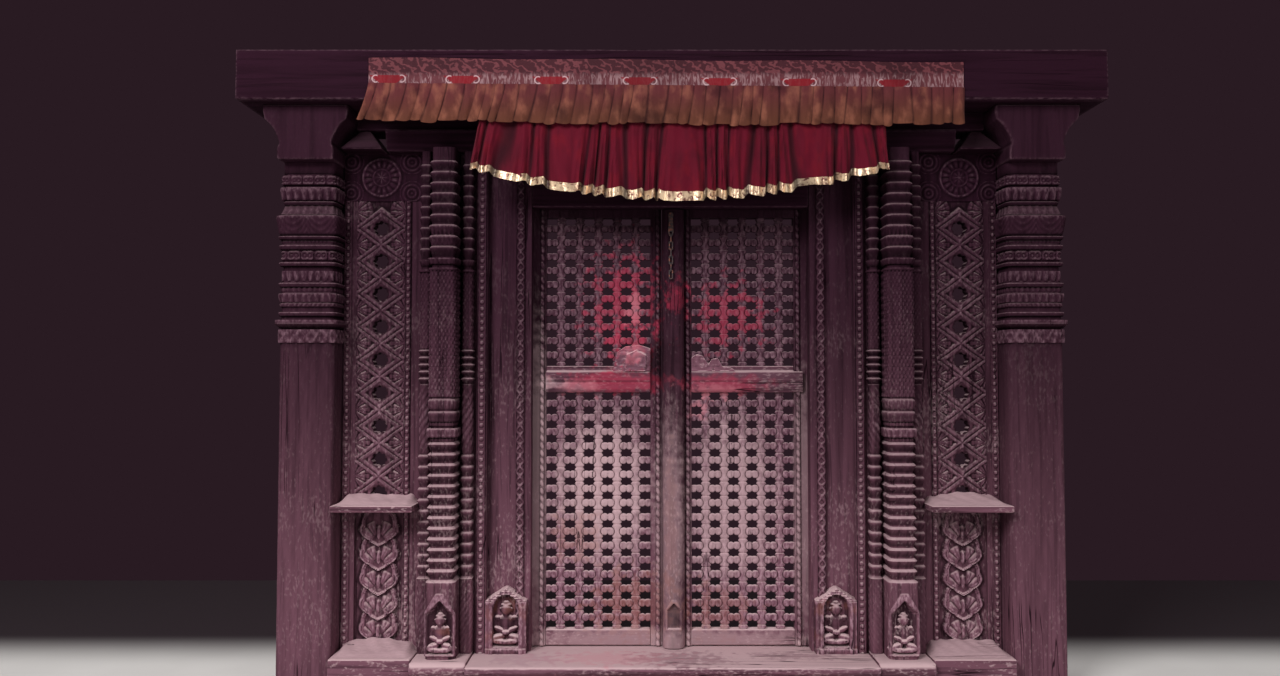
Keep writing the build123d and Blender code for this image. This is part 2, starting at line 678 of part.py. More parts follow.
def make_hanging_stile():
    """Right hanging stile, rounded about its pivots and with a raised strip."""
    inner = LEAF_OUT - HANGING_STILE_W
    stile = stile_with_strip(inner, PIVOT_X, inner + STRIP_EDGE)
    stile += Pos(PIVOT_X, PIVOT_Y, (LEAF_Z0 + LEAF_Z1) / 2) * Cylinder(LEAF_T / 2, LEAF_H)
    length = LEAF_H + 2 * PIVOT_L
    stile += Pos(PIVOT_X, PIVOT_Y, (LEAF_Z0 + LEAF_Z1) / 2) * Cylinder(PIVOT_R, length)
    return stile


def make_left_meeting_stile():
    """Meeting stile of the left leaf, with a raised strip near its closing edge."""
    edge = MEETING_X - MEETING_GAP / 2
    return stile_with_strip(edge - LEFT_MEETING_W, edge, edge - STRIP_EDGE - STRIP_W)


def make_right_meeting_stile():
    """Wide meeting stile of the right leaf, which carries the centre post."""
    edge = MEETING_X + MEETING_GAP / 2
    return stile_with_strip(edge, edge + RIGHT_MEETING_W, edge + POST_W + 3)


def make_centre_post():
    """Rounded post planted on the right meeting stile, with a small arched niche at its foot."""
    x, w, d = MEETING_X + MEETING_GAP / 2 + POST_W / 2, POST_W / 2, POST_OUT
    plan = [(-w, 0), (-w, -d * 0.3), (-w * 0.72, -d * 0.78), (-w * 0.4, -d), (w * 0.4, -d),
            (w * 0.72, -d * 0.78), (w, -d * 0.3), (w, 0)]
    post = prism_z([(x + a, b) for a, b in plan], LEAF_Z0, LEAF_Z1 - HEAD_LAP - LEAF_GAP)
    half, z0 = POST_NICHE_W / 2, LEAF_Z0 + POST_NICHE_Z
    z1 = z0 + POST_NICHE_H
    arch = [(x - half, z0), (x + half, z0), (x + half, z1 - half), (x + half * 0.6, z1 - half * 0.3),
            (x, z1), (x - half * 0.6, z1 - half * 0.3), (x - half, z1 - half)]
    return post - prism_y(arch, -d, -d + POST_NICHE_CUT)


def lattice_span(side):
    """Inner faces of a leaf's stiles: their low and high X."""
    inner = LEAF_OUT - HANGING_STILE_W
    if side == "left":
        return -inner, MEETING_X - MEETING_GAP / 2 - LEFT_MEETING_W
    return MEETING_X + MEETING_GAP / 2 + RIGHT_MEETING_W, inner


def lattice_fields():
    """Low and high Z of the lattice under and over the middle rail."""
    lower = (LEAF_Z0 + BOTTOM_RAIL_H, LEAF_Z0 + MID_RAIL_Z)
    upper = (LEAF_Z0 + MID_RAIL_Z + MID_RAIL_H, LEAF_Z1 - TOP_RAIL_H)
    return lower, upper


def make_top_rail(side):
    """Top rail between the stiles."""
    x0, x1 = lattice_span(side)
    return block(x0, x1, 0, LEAF_T, LEAF_Z1 - TOP_RAIL_H, LEAF_Z1)


def make_bottom_rail(side):
    """Bottom rail between the stiles."""
    x0, x1 = lattice_span(side)
    return block(x0, x1, 0, LEAF_T, LEAF_Z0, LEAF_Z0 + BOTTOM_RAIL_H)


def make_mid_rail(side):
    """Middle rail, moulded proud of the leaf; the right one laps over its hanging stile."""
    x0, x1 = lattice_span(side)
    z0, h, out = LEAF_Z0 + MID_RAIL_Z, MID_BAND_H, MID_BAND_OUT
    rail = block(x0, x1, 0, LEAF_T, z0, z0 + MID_RAIL_H)
    band = [(0, z0), (-out * 0.6, z0), (-out, z0 + h * 0.2), (-out, z0 + h * 0.46),
            (-out * 0.7, z0 + h * 0.54), (-out, z0 + h * 0.62), (-out * 0.9, z0 + h), (0, z0 + h)]
    if side == "left":
        return rail + prism_x(band, x0, x1)
    end = x1 + RIGHT_BAND_LAP
    lap = block(x1, end, -STRIP_OUT, LEAF_T, z0, z0 + h)
    return rail + (prism_x(band, x0, end) - lap)


def make_uprights(side):
    """Front layer of a leaf's lattice: upright slats between the rails."""
    x0, x1 = lattice_span(side)
    y0 = LATTICE_RECESS
    slats = []
    for z0, z1 in lattice_fields():
        for x in spread(x0, x1, UPRIGHT_W, UPRIGHT_PITCH):
            slats.append(block(x - UPRIGHT_W / 2, x + UPRIGHT_W / 2, y0, y0 + UPRIGHT_T, z0, z1))
    return Compound(children=slats)


def make_crossbars(side):
    """Rear layer of a leaf's lattice: bars between the stiles, against the slats' backs."""
    x0, x1 = lattice_span(side)
    y0 = LATTICE_RECESS + UPRIGHT_T
    bars = []
    for z0, z1 in lattice_fields():
        for z in spread(z0, z1, CROSSBAR_H, CROSSBAR_PITCH):
            bars.append(block(x0, x1, y0, y0 + CROSSBAR_T, z - CROSSBAR_H / 2, z + CROSSBAR_H / 2))
    return Compound(children=bars)


def make_left_crest():
    """Worn carved crest on the left middle rail, against the meeting stile."""
    x1 = MEETING_X - MEETING_GAP / 2 - LEFT_MEETING_W
    x0, z0 = x1 - LEFT_CREST_W, LEAF_Z0 + MID_RAIL_Z + MID_BAND_H
    w, h = LEFT_CREST_W, LEFT_CREST_H
    outline = [(x0, z0), (x1, z0), (x1, z0 + h * 0.86), (x1 - w * 0.3, z0 + h),
               (x1 - w * 0.66, z0 + h * 0.94), (x0 + w * 0.1, z0 + h * 0.7)]
    raised = [(x0 + w * 0.3, z0), (x1 - w * 0.12, z0), (x1 - w * 0.12, z0 + h * 0.6),
              (x1 - w * 0.36, z0 + h * 0.8), (x0 + w * 0.36, z0 + h * 0.62)]
    return prism_y(outline, -CREST_T, 0) + prism_y(raised, -CREST_T * 1.5, -CREST_T)


def make_right_crest():
    """Worn carved crest on the right middle rail: two broken scrolls."""
    x0 = MEETING_X + MEETING_GAP / 2 + RIGHT_MEETING_W
    z0 = LEAF_Z0 + MID_RAIL_Z + MID_BAND_H
    w, h = RIGHT_CREST_W, RIGHT_CREST_H
    outline = [(x0, z0), (x0 + w, z0), (x0 + w * 0.9, z0 + h * 0.22), (x0 + w * 0.7, z0 + h * 0.3),
               (x0 + w * 0.6, z0 + h * 0.78), (x0 + w * 0.46, z0 + h * 0.72),
               (x0 + w * 0.38, z0 + h * 0.4), (x0 + w * 0.26, z0 + h * 0.9), (x0 + w * 0.12, z0 + h),
               (x0, z0 + h * 0.8)]
    return prism_y(outline, -CREST_T, 0)


def stud_place():
    """X and Z of the latch stud, and Y of the post's face behind it."""
    return STUD_X, LEAF_Z1 - STUD_DROP - HEAD_LAP, -POST_OUT


def make_latch_stud():
    """Stud with a forged eight-sided head, in the face of the centre post."""
    x, z, y = stud_place()
    shank = LATCH_OFF + HASP_T + LATCH_OFF
    stud = Pos(x, y - shank / 2, z) * Rot(90, 0, 0) * Cylinder(STUD_R, shank)
    head = Plane.XZ.offset(shank - y) * Pos(x, z) * RegularPolygon(STUD_HEAD_R, STUD_SIDE_COUNT)
    return stud + extrude(head, STUD_HEAD_T, dir=(0, -1, 0))


def make_latch_hasp():
    """Flat iron strap that hangs on the stud by its eye, with a slot at its lower end."""
    x, z, y = stud_place()
    y1 = y - LATCH_OFF
    outline = [(-9, 4), (-4, 10), (4, 10), (9, 4), (7, -20), (10, -HASP_L + 14), (5, -HASP_L),
               (-5, -HASP_L), (-10, -HASP_L + 14), (-7, -20)]
    strap = prism_y([(x + a, z + b) for a, b in outline], y1 - HASP_T, y1)
    hole = Cylinder(STUD_R + STUD_CLEARANCE, 3 * HASP_T)
    strap -= Pos(x, y1 - HASP_T / 2, z) * Rot(90, 0, 0) * hole
    return strap - block(x - 4, x + 4, y1 - HASP_T, y1, z - HASP_L + LINK_WIRE, z - HASP_L + 16)


def oval(length, width, end):
    """Outline of a link, upright, with its ends narrowed: X, Z points."""
    h, w = length / 2, width / 2
    right = [(w - end, -h), (w, -h + end), (w, h - end), (w - end, h)]
    return right + [(-x, z) for x, z in reversed(right)]


def link(turned):
    """One long iron link, upright; a turned one is edge-on to the front."""
    half = LINK_WIRE / 2
    inner = oval(LINK_L - 2 * LINK_WIRE, LINK_W - 2 * LINK_WIRE, LINK_WIRE * 0.3)
    ring = prism_y(oval(LINK_L, LINK_W, LINK_WIRE), -half, half) - prism_y(inner, -half, half)
    return Rot(0, 0, 90) * ring if turned else ring


def make_latch_chain():
    """Links hanging one in another from the slot of the hasp."""
    x, z, y = stud_place()
    y -= LATCH_OFF + HASP_T / 2
    pitch = LINK_L - 2 * LINK_WIRE - LINK_PLAY
    first = z - HASP_L + LINK_WIRE + LINK_PLAY - (LINK_L / 2 - LINK_WIRE)
    links = [Pos(x, y, first - i * pitch) * link(i % 2 == 0) for i in range(LINK_COUNT)]
    return Compound(children=links)


def both_sides(name, make):
    """A right-hand piece and its left-hand twin, under their own names."""
    right = make()
    return {"right_" + name: right, "left_" + name: to_left(right)}


def model():
    """Every piece of the doorway, by name."""
    pieces = {
        "threshold": make_threshold(),
        "threshold_step": make_threshold_step(),
        "lintel": make_lintel(),
        "door_head": make_door_head(),
        "pivot_rail": make_pivot_rail(),
        "frieze_board": make_frieze(),
        "head_beam": make_head_beam(),
        "valance_band": make_valance_band(),
        "valance_frill": make_valance_frill(),
        "valance_skirt": make_valance_skirt(),
        "valance_trim": make_valance_trim(),
        "left_meeting_stile": make_left_meeting_stile(),
        "right_meeting_stile": make_right_meeting_stile(),
        "centre_post": make_centre_post(),
        "left_crest": make_left_crest(),
        "right_crest": make_right_crest(),
        "latch_stud": make_latch_stud(),
        "latch_hasp": make_latch_hasp(),
        "latch_chain": make_latch_chain(),
    }
    for name, make in (("plinth", make_plinth), ("ledge", make_ledge), ("jamb", make_jamb),
                       ("jamb_niche", make_jamb_niche), ("colonette", make_colonette),
                       ("bay_stiles", make_bay_stiles), ("lozenge_panel", make_lozenge_panel),
                       ("foliage_panel", make_foliage_panel), ("shelf", make_shelf),
                       ("medallion_board", make_medallion_board),
                       ("lintel_cap", make_lintel_cap), ("pillar", make_pillar),
                       ("capital", make_capital), ("hanging_stile", make_hanging_stile)):
        pieces.update(both_sides(name, make))
    for side in ("left", "right"):
        pieces[side + "_top_rail"] = make_top_rail(side)
        pieces[side + "_mid_rail"] = make_mid_rail(side)
        pieces[side + "_bottom_rail"] = make_bottom_rail(side)
        pieces[side + "_uprights"] = make_uprights(side)
        pieces[side + "_crossbars"] = make_crossbars(side)
    return pieces


os.makedirs("parts", exist_ok=True)
for node, piece in model().items():
    export_step(piece, f"parts/{node}.step")
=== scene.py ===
"""Dresses the carved temple door: carving, lattice, beads, figures, cloth, dust and timber."""
import math

import bmesh
import bpy
import numpy as np
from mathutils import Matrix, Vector


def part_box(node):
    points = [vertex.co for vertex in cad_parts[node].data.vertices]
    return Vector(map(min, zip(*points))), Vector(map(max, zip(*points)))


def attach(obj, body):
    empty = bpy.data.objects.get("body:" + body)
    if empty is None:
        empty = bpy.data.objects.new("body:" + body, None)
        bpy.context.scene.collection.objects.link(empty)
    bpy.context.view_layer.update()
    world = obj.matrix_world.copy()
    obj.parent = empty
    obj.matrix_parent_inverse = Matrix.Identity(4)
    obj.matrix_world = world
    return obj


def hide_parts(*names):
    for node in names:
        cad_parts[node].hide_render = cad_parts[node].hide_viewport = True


bl_info = {
    "name": "Carved temple door",
    "version": (1, 0, 0),
    "blender": (4, 5, 0),
    "location": "View3D > Sidebar > Temple Door",
    "description": "Carving, cloth and timber finishes for a carved temple doorway",
    "category": "Object",
}

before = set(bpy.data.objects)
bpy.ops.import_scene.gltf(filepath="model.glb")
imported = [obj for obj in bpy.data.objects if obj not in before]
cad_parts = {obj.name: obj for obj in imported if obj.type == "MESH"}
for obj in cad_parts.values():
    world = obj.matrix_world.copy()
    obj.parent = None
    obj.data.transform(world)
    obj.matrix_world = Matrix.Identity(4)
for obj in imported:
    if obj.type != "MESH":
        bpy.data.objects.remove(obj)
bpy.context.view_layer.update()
MM = 0.001
SIDES = {"left": -1, "right": 1}
SHARP_ANGLE = math.radians(62)  # edges sharper than this stay crisp
# Hidden backs, and the walls that run down to them, take the painted shade of the hollows.
BACK_RELIEF = 0.15  # how proud the hidden backs count as: near the hollows


def srgb(red, green, blue):
    """A colour given as 0 to 255 on screen, in the linear values that shaders take."""
    return tuple((c / 255 / 12.92) if c <= 10 else ((c / 255 + 0.055) / 1.055) ** 2.4
                 for c in (red, green, blue))


def colour(name, description, value):
    """A colour property with a default given as it looks on screen."""
    return bpy.props.FloatVectorProperty(name=name, description=description, subtype="COLOR",
                                         size=3, min=0, max=1, default=srgb(*value))


def length(name, description, millimetres):
    """A size property with a default in millimetres."""
    return bpy.props.FloatProperty(name=name, description=description, unit="LENGTH",
                                   subtype="DISTANCE", min=0, default=millimetres * MM)


class DoorColours(bpy.types.PropertyGroup):
    """Colours of the timbers, dirt, painted shade, cloth and iron."""
    # The heart colour is both the dark grain, cracks and dirt and the painted shade in hollows and
    # in the valleys of the cloth.
    heart_and_shade: colour("Heart timber", "Dark timber in the hollows", (20, 6, 13))
    # Plain faces run from the timber colour high up, dark with painted shade under the beam, to the
    # faded colour low down, pale with dust.
    timber: colour("Timber", "Timber on the plain faces, high up", (40, 17, 30))
    faded: colour("Faded timber", "Timber on the plain faces, low down", (120, 80, 94))
    # The worn colour also serves as the painted highlight on raised edges.
    worn: colour("Worn timber", "Timber rubbed pale on the edges", (170, 131, 145))
    brown: colour("Bare timber", "Warm timber where the surface has gone", (150, 92, 74))
    dust: colour("Dust", "Pale dust on ledges and lower parts", (200, 168, 172))
    # The soot colour also paints the shade across the tops of the leaves.
    soot_and_shade: colour("Soot", "Soot from lamps and incense", (18, 6, 12))
    powder: colour("Red powder", "Offering powder", (172, 48, 74))
    pink: colour("Pink powder", "Offering powder rubbed thin", (206, 130, 142))
    brocade: colour("Brocade", "Ground of the brocade band", (64, 27, 35))
    scroll: colour("Brocade scrolls", "Woven scrolls of the band", (118, 62, 68))
    patch: colour("Brocade patches", "Red patches of the band", (120, 16, 28))
    frill: colour("Frill", "Pleated frill, upper part", (88, 40, 44))
    frill_hem: colour("Frill hem", "Pleated frill, lower part", (88, 50, 38))
    skirt: colour("Skirt", "Gathered red cloth", (88, 10, 30))
    gold: colour("Foil", "Foil trim of the skirt", (236, 206, 170))
    iron: colour("Iron", "Latch and chain", (70, 62, 64))
    floor: colour("Floor", "Pale floor", (206, 202, 199))
    # The backdrop is dark as painted shade of the unlit space behind the door, seen through the
    # lattice.
    backdrop_shade: colour("Backdrop", "Plain backdrop", (41, 27, 34))


class DoorSizes(bpy.types.PropertyGroup):
    """Sizes of the carving and the folds."""
    bead_pitch: length("Bead pitch", "Distance from bead to bead", 24)
    leaf_bead: length("Leaf bead pitch", "Distance between the beads on the leaves", 27)
    carve_step: length("Carving step", "Distance between points of a carved surface", 3.0)
    star_r: length("Star radius", "Outer radius of a pierced star", 28)
    scale_w: length("Scale width", "Width of a carved scale on the shafts", 13)
    pleat_depth: length("Pleat depth", "Depth of a pleat of the frill", 11)
    fold_depth: length("Fold depth", "Depth of a fold of the skirt", 25)


def colours():
    """The colours in use."""
    return bpy.context.scene.door_colours


def sizes():
    """The sizes in use."""
    return bpy.context.scene.door_sizes


# Shader helpers

MIX_A, MIX_B, MIX_RESULT = 6, 7, 2  # the colour sockets of a Mix node


class Shader:
    """Short ways to add and join the nodes of one material."""

    def __init__(self, name, roughness=0.8, metallic=0.0, specular=0.5):
        self.material = bpy.data.materials.new(name)
        self.material.use_nodes = True
        self.tree = self.material.node_tree
        self.tree.nodes.clear()
        self.out = self.add("ShaderNodeOutputMaterial")
        self.skin = self.add("ShaderNodeBsdfPrincipled")
        self.skin.inputs["Roughness"].default_value = roughness
        self.skin.inputs["Metallic"].default_value = metallic
        self.skin.inputs["Specular IOR Level"].default_value = specular
        self.join(self.skin.outputs[0], self.out.inputs["Surface"])
        self.place = self.add("ShaderNodeTexCoord").outputs["Object"]
        self.axes = self.add("ShaderNodeSeparateXYZ")
        self.join(self.place, self.axes.inputs[0])

    def add(self, kind, **settings):
        """A new node with some of its settings."""
        node = self.tree.nodes.new(kind)
        for key, value in settings.items():
            setattr(node, key, value)
        return node

    def join(self, a, b):
        """A link from an output to an input."""
        self.tree.links.new(a, b)

    def put(self, socket, value):
        """A value or a link into a socket."""
        if isinstance(value, bpy.types.NodeSocket):
            self.join(value, socket)
        elif hasattr(value, "__len__") and len(value) == 3 and socket.type == "RGBA":
            socket.default_value = (*value, 1)
        else:
            socket.default_value = value

    def stretch(self, x, y, z):
        """Object coordinates scaled along each axis."""
        node = self.add("ShaderNodeMapping")
        self.join(self.place, node.inputs[0])
        node.inputs["Scale"].default_value = (x, y, z)
        return node.outputs[0]

    def along(self, grain, across, down):
        """Object coordinates for a grain that runs along X or Z, scaled across it and down it."""
        return self.stretch(*((down, across, across) if grain == "X" else (across, across, down)))

    def noise(self, scale, detail=4.0, stretch=None, distortion=0.0):
        """Soft noise from 0 to 1."""
        node = self.add("ShaderNodeTexNoise")
        self.join(stretch or self.place, node.inputs["Vector"])
        node.inputs["Scale"].default_value = scale
        node.inputs["Detail"].default_value = detail
        node.inputs["Distortion"].default_value = distortion
        return node.outputs["Fac"]

    def math(self, operation, a, b=0.0, clamp=False):
        """One arithmetic step."""
        node = self.add("ShaderNodeMath", operation=operation, use_clamp=clamp)
        self.put(node.inputs[0], a)
        self.put(node.inputs[1], b)
        return node.outputs[0]

    def times(self, a, b, clamp=False):
        """A product."""
        return self.math("MULTIPLY", a, b, clamp)

    def line(self, value, slope, start):
        """A value times a slope, plus a start."""
        result = self.math("MULTIPLY_ADD", value, slope)
        result.node.inputs[2].default_value = start
        return result

    def ramp(self, value, low, high, smooth=True):
        """0 below low and 1 above high."""
        node = self.add("ShaderNodeMapRange", clamp=True)
        if smooth:
            node.interpolation_type = "SMOOTHSTEP"
        self.put(node.inputs[0], value)
        node.inputs[1].default_value = low
        node.inputs[2].default_value = high
        return node.outputs[0]

    def fade(self, value, low, high):
        """1 below low and 0 above high."""
        return self.math("SUBTRACT", 1.0, self.ramp(value, low, high))

    def mix(self, factor, a, b):
        """A blend of two colours."""
        node = self.add("ShaderNodeMix", data_type="RGBA")
        self.put(node.inputs["Factor"], factor)
        self.put(node.inputs[MIX_A], a)
        self.put(node.inputs[MIX_B], b)
        return node.outputs[MIX_RESULT]

    def attribute(self, name):
        """A value kept on the points of the mesh."""
        return self.add("ShaderNodeAttribute", attribute_name=name).outputs["Fac"]

    def facing(self, low, high):
        """1 where the surface faces up and 0 where it stands upright or faces down."""
        normal = self.add("ShaderNodeSeparateXYZ")
        self.join(self.add("ShaderNodeNewGeometry").outputs["Normal"], normal.inputs[0])
        return self.ramp(normal.outputs[2], low, high)

    def patch(self, centre, size, ragged):
        """1 inside a ragged patch about a place, 0 outside it."""
        offset = self.add("ShaderNodeVectorMath", operation="SUBTRACT")
        self.join(self.place, offset.inputs[0])
        offset.inputs[1].default_value = centre
        scaled = self.add("ShaderNodeVectorMath", operation="DIVIDE")
        self.join(offset.outputs[0], scaled.inputs[0])
        scaled.inputs[1].default_value = size
        reach = self.add("ShaderNodeVectorMath", operation="LENGTH")
        self.join(scaled.outputs[0], reach.inputs[0])
        rough = self.line(self.noise(34.0, 9.0), 3.4 * ragged, -1.7 * ragged)
        return self.fade(self.math("ADD", reach.outputs["Value"], rough), 0.35, 0.95)

    def paint(self, shade):
        """The colour of the skin."""
        self.join(shade, self.skin.inputs["Base Color"])

    def bump(self, height, strength, distance):
        """Fine relief on the skin."""
        node = self.add("ShaderNodeBump")
        node.inputs["Strength"].default_value = strength
        node.inputs["Distance"].default_value = distance
        self.join(height, node.inputs["Height"])
        self.join(node.outputs[0], self.skin.inputs["Normal"])


def timber(name, grain="Z", carved=True, pale=0.0, dusty=1.0, bare=0.0, stains=(), lively=1.0):
    """Old timber: grain, cracks, worn edges with painted highlights, dirt and painted shade in the
    hollows, painted shade high up, dust on what faces up, stains.
    """
    c = colours()
    s = Shader(name, roughness=0.82, specular=0.04)
    fibre = s.noise(1.0, 7.0, s.along(grain, 70, 3), 0.5)
    streak = s.noise(1.0, 4.0, s.along(grain, 16, 0.9), 0.3)
    fleck = s.noise(1.0, 7.0, s.along(grain, 130, 60))
    broad = s.noise(6.0, 7.0)
    relief = s.attribute("relief") if carved else s.line(broad, 0.4, 0.32)

    # Plain faces are paler towards the ground, with dark streaks and fibres: dark high up as
    # painted shade under the beam, pale low down with dust
    low = s.math("POWER", s.ramp(s.axes.outputs[2], 1.8, 0.05), 1.6)
    lit_and_aged = s.math("ADD", s.times(low, 0.9), pale, clamp=True)
    plain = s.mix(lit_and_aged, c.timber, c.faded)
    plain = s.mix(s.times(s.ramp(streak, 0.45, 0.7), 0.45 * lively), plain, c.heart_and_shade)
    plain = s.mix(s.times(s.ramp(fibre, 0.46, 0.66), 0.5 * lively), plain, c.heart_and_shade)

    # Hollows hold dirt and painted shade, and edges are rubbed pale with wear and painted
    # highlights
    deep = s.math("SUBTRACT", 1.0, s.times(lit_and_aged, 0.35))
    base = s.mix(s.times(s.fade(relief, 0.02, 0.5), deep), plain, c.heart_and_shade)
    rubbed = s.times(s.ramp(relief, 0.48, 1.0), s.ramp(fleck, 0.3, 0.72))
    lift = s.math("ADD", s.times(lit_and_aged, 0.85), 0.15)
    base = s.mix(s.times(rubbed, lift, clamp=True), base, c.worn)

    # A film of dust, bare places, and the dust that settles on what faces up
    specks = s.math("ADD", s.times(broad, 0.6), s.times(fleck, 0.9))
    film = s.times(s.ramp(specks, 0.78, 0.98), lit_and_aged)
    base = s.mix(s.times(film, 0.45 * dusty, clamp=True), base, c.dust)
    if bare:
        raw = s.times(s.ramp(s.noise(13.0, 7.0), 0.5, 0.66), bare)
        base = s.mix(raw, base, c.brown)
    settle = s.times(s.facing(0.2, 0.8), s.math("ADD", lit_and_aged, 0.18))
    base = s.mix(s.times(settle, dusty, clamp=True), base, c.dust)

    # Stains show least in the hollows
    for shade, centre, size, amount, ragged in stains:
        held = s.math("ADD", s.times(s.ramp(relief, 0.1, 0.9), 0.75), 0.25)
        share = s.times(s.times(s.patch(centre, size, ragged), amount), held)
        base = s.mix(share, base, shade)

    # Cracks run along the grain
    drift = s.noise(1.0, 2.0, s.along(grain, 20, 0.7))
    split = s.math("ABSOLUTE", s.math("SUBTRACT", drift, 0.5))
    crack = s.times(s.fade(split, 0.002, 0.008), s.ramp(s.noise(2.6, 2.0), 0.54, 0.6))
    s.paint(s.mix(s.times(crack, 0.85), base, c.heart_and_shade))
    height = s.math("ADD", fibre, s.times(fleck, 0.6))
    s.bump(s.math("SUBTRACT", height, s.times(crack, 1.6)), 0.75, 0.0016)
    return s.material


def dress_node(node, material):
    """A CAD node's finish."""
    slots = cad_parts[node].data.materials
    if len(slots):
        for i in range(len(slots)):
            slots[i] = material
    else:
        slots.append(material)


# Mesh helpers: points are in millimetres here and become metres in one place

def add_object(name, data):
    """A new object in the scene."""
    piece = bpy.data.objects.new(name, data)
    bpy.context.scene.collection.objects.link(piece)
    return piece


def make_piece(name, part, material, body):
    """A mesh piece from (points, faces, relief) in millimetres, riding on a body."""
    points, faces, relief = part
    mesh = bpy.data.meshes.new(name)
    mesh.from_pydata((np.asarray(points) * MM).tolist(), [],
                     faces.tolist() if isinstance(faces, np.ndarray) else faces)
    mesh.validate()
    layer = mesh.attributes.new("relief", "FLOAT", "POINT")
    layer.data.foreach_set("value", np.asarray(relief, dtype=np.float32))
    mesh.shade_smooth()
    mesh.set_sharp_from_angle(angle=SHARP_ANGLE)
    mesh.materials.append(material)
    piece = add_object(name, mesh)
    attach(piece, body)
    return piece


def grid_quads(rows, columns, closed=False):
    """Quads between neighbouring points of a grid, counter-clockwise as rows go up."""
    i = np.arange(rows * columns).reshape(rows, columns)
    if closed:
        i = np.concatenate([i, i[:, :1]], axis=1)
    quads = np.stack([i[:-1, :-1], i[:-1, 1:], i[1:, 1:], i[1:, :-1]], axis=-1)
    return quads.reshape(-1, 4)


def join_parts(parts):
    """Several (points, faces, relief) as one."""
    points, faces, relief, start = [], [], [], 0
    for p, f, r in parts:
        points.append(p)
        rings = f.tolist() if isinstance(f, np.ndarray) else f
        faces += [[k + start for k in ring] for ring in rings]
        relief.append(r)
        start += len(p)
    return np.concatenate(points), faces, np.concatenate(relief)


def mirrored(part):
    """The left-hand twin of a (points, faces, relief) part."""
    points, faces, relief = part
    turned = faces[:, ::-1] if isinstance(faces, np.ndarray) else [f[::-1] for f in faces]
    return points * np.array([-1, 1, 1]), turned, relief


def sided(part, side):
    """A right-hand part, or its twin for the left side."""
    return part if side == "right" else mirrored(part)


def box_mm(node):
    """A node's corners in millimetres."""
    low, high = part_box(node)
    return np.array(low) / MM, np.array(high) / MM


def slab(x0, x1, y0, y1, z0, z1, e=2.0):
    """A squared timber with softened edges of a width e."""
    ring = [(x0 + e, y0), (x1 - e, y0), (x1, y0 + e), (x1, y1 - e), (x1 - e, y1), (x0 + e, y1),
            (x0, y1 - e), (x0, y0 + e)]
    small = [(x0 + e, y0 + e), (x1 - e, y0 + e), (x1 - e, y0 + e), (x1 - e, y1 - e),
             (x1 - e, y1 - e), (x0 + e, y1 - e), (x0 + e, y1 - e), (x0 + e, y0 + e)]
    levels = [(small, z0), (ring, z0 + e), (ring, z1 - e), (small, z1)]
    points = np.array([(x, y, z) for loop, z in levels for x, y in loop], float)
    faces = grid_quads(4, 8, closed=True).tolist()
    faces += [[7, 6, 5, 4, 3, 2, 1, 0], [24, 25, 26, 27, 28, 29, 30, 31]]
    return points, faces, np.full(len(points), 0.6)


def relief_face(low, high, step, height, front, back, inside=None):
    """A carved face that looks to -Y over a node's box, with walls and a plain back. Height is a
    function of X and Z, and inside marks the points of a pierced hole."""
    x0, x1, z0, z1 = low[0], high[0], low[2], high[2]
    nx = max(2, int(round((x1 - x0) / step)))
    nz = max(2, int(round((z1 - z0) / step)))
    x, z = np.meshgrid(np.linspace(x0, x1, nx + 1), np.linspace(z0, z1, nz + 1))
    h = height(x, z)
    # The relief gives painted shade low in the carving and painted highlights on its crests.
    hollow, crest = np.percentile(h, (4, 97))
    level = (h - hollow) / max(crest - hollow, 1e-6)
    proud = h - soften(h, int(14 / step))
    relief = np.clip(0.34 + 0.2 * level + 0.14 * proud, 0, 1).reshape(-1)
    points = np.stack([x, front - h, z], axis=-1).reshape(-1, 3)
    faces = grid_quads(nz + 1, nx + 1)
    if inside is not None:
        centre = points[faces].mean(axis=1)
        gone = inside(centre[:, 0], centre[:, 2])
        rim = np.intersect1d(faces[gone], faces[~gone])
        points[rim, 0], points[rim, 2] = inside(points[rim, 0], points[rim, 2], onto_edge=True)
        # The edges of the holes take painted shade.
        relief[rim] = 0.1
        faces = faces[~gone]
    return close_back(points, faces, relief, back)


def soften(h, reach):
    """A grid of heights averaged over the points within reach, both ways."""
    for axis in (0, 1):
        pad = [(reach, reach) if k == axis else (0, 0) for k in (0, 1)]
        total = np.cumsum(np.pad(h, pad, mode="edge"), axis=axis)
        first = np.take(total, [0], axis=axis) * 0
        total = np.concatenate([first, total], axis=axis)
        width = 2 * reach + 1
        count = h.shape[axis]
        h = (np.take(total, np.arange(width, width + count), axis=axis)
             - np.take(total, np.arange(count), axis=axis)) / width
    return h


def close_back(points, faces, relief, back):
    """Walls from the open edges of a face to a plane, and the plane filled."""
    edges = np.concatenate([faces[:, [0, 1]], faces[:, [1, 2]], faces[:, [2, 3]], faces[:, [3, 0]]])
    key = np.sort(edges, axis=1)
    _, first, count = np.unique(key, axis=0, return_index=True, return_counts=True)
    rim = edges[first[count == 1]]
    used, place = np.unique(rim, return_inverse=True)
    place = place.reshape(rim.shape) + len(points)
    behind = points[used].copy()
    behind[:, 1] = back
    walls = np.stack([rim[:, 1], rim[:, 0], place[:, 0], place[:, 1]], axis=-1)
    work = bmesh.new()
    corner = [work.verts.new(p) for p in behind]
    loops = [work.edges.new((corner[a - len(points)], corner[b - len(points)])) for a, b in place]
    work.verts.index_update()
    bmesh.ops.triangle_fill(work, edges=loops, use_beauty=True, normal=Vector((0, 1, 0)))
    plane = []
    for face in work.faces:
        ring = [v.index + len(points) for v in face.verts]
        plane.append(ring if face.normal.y > 0 else ring[::-1])
    work.free()
    all_points = np.concatenate([points, behind])
    all_relief = np.concatenate([relief, np.full(len(behind), BACK_RELIEF)])
    return all_points, faces.tolist() + walls.tolist() + plane, all_relief


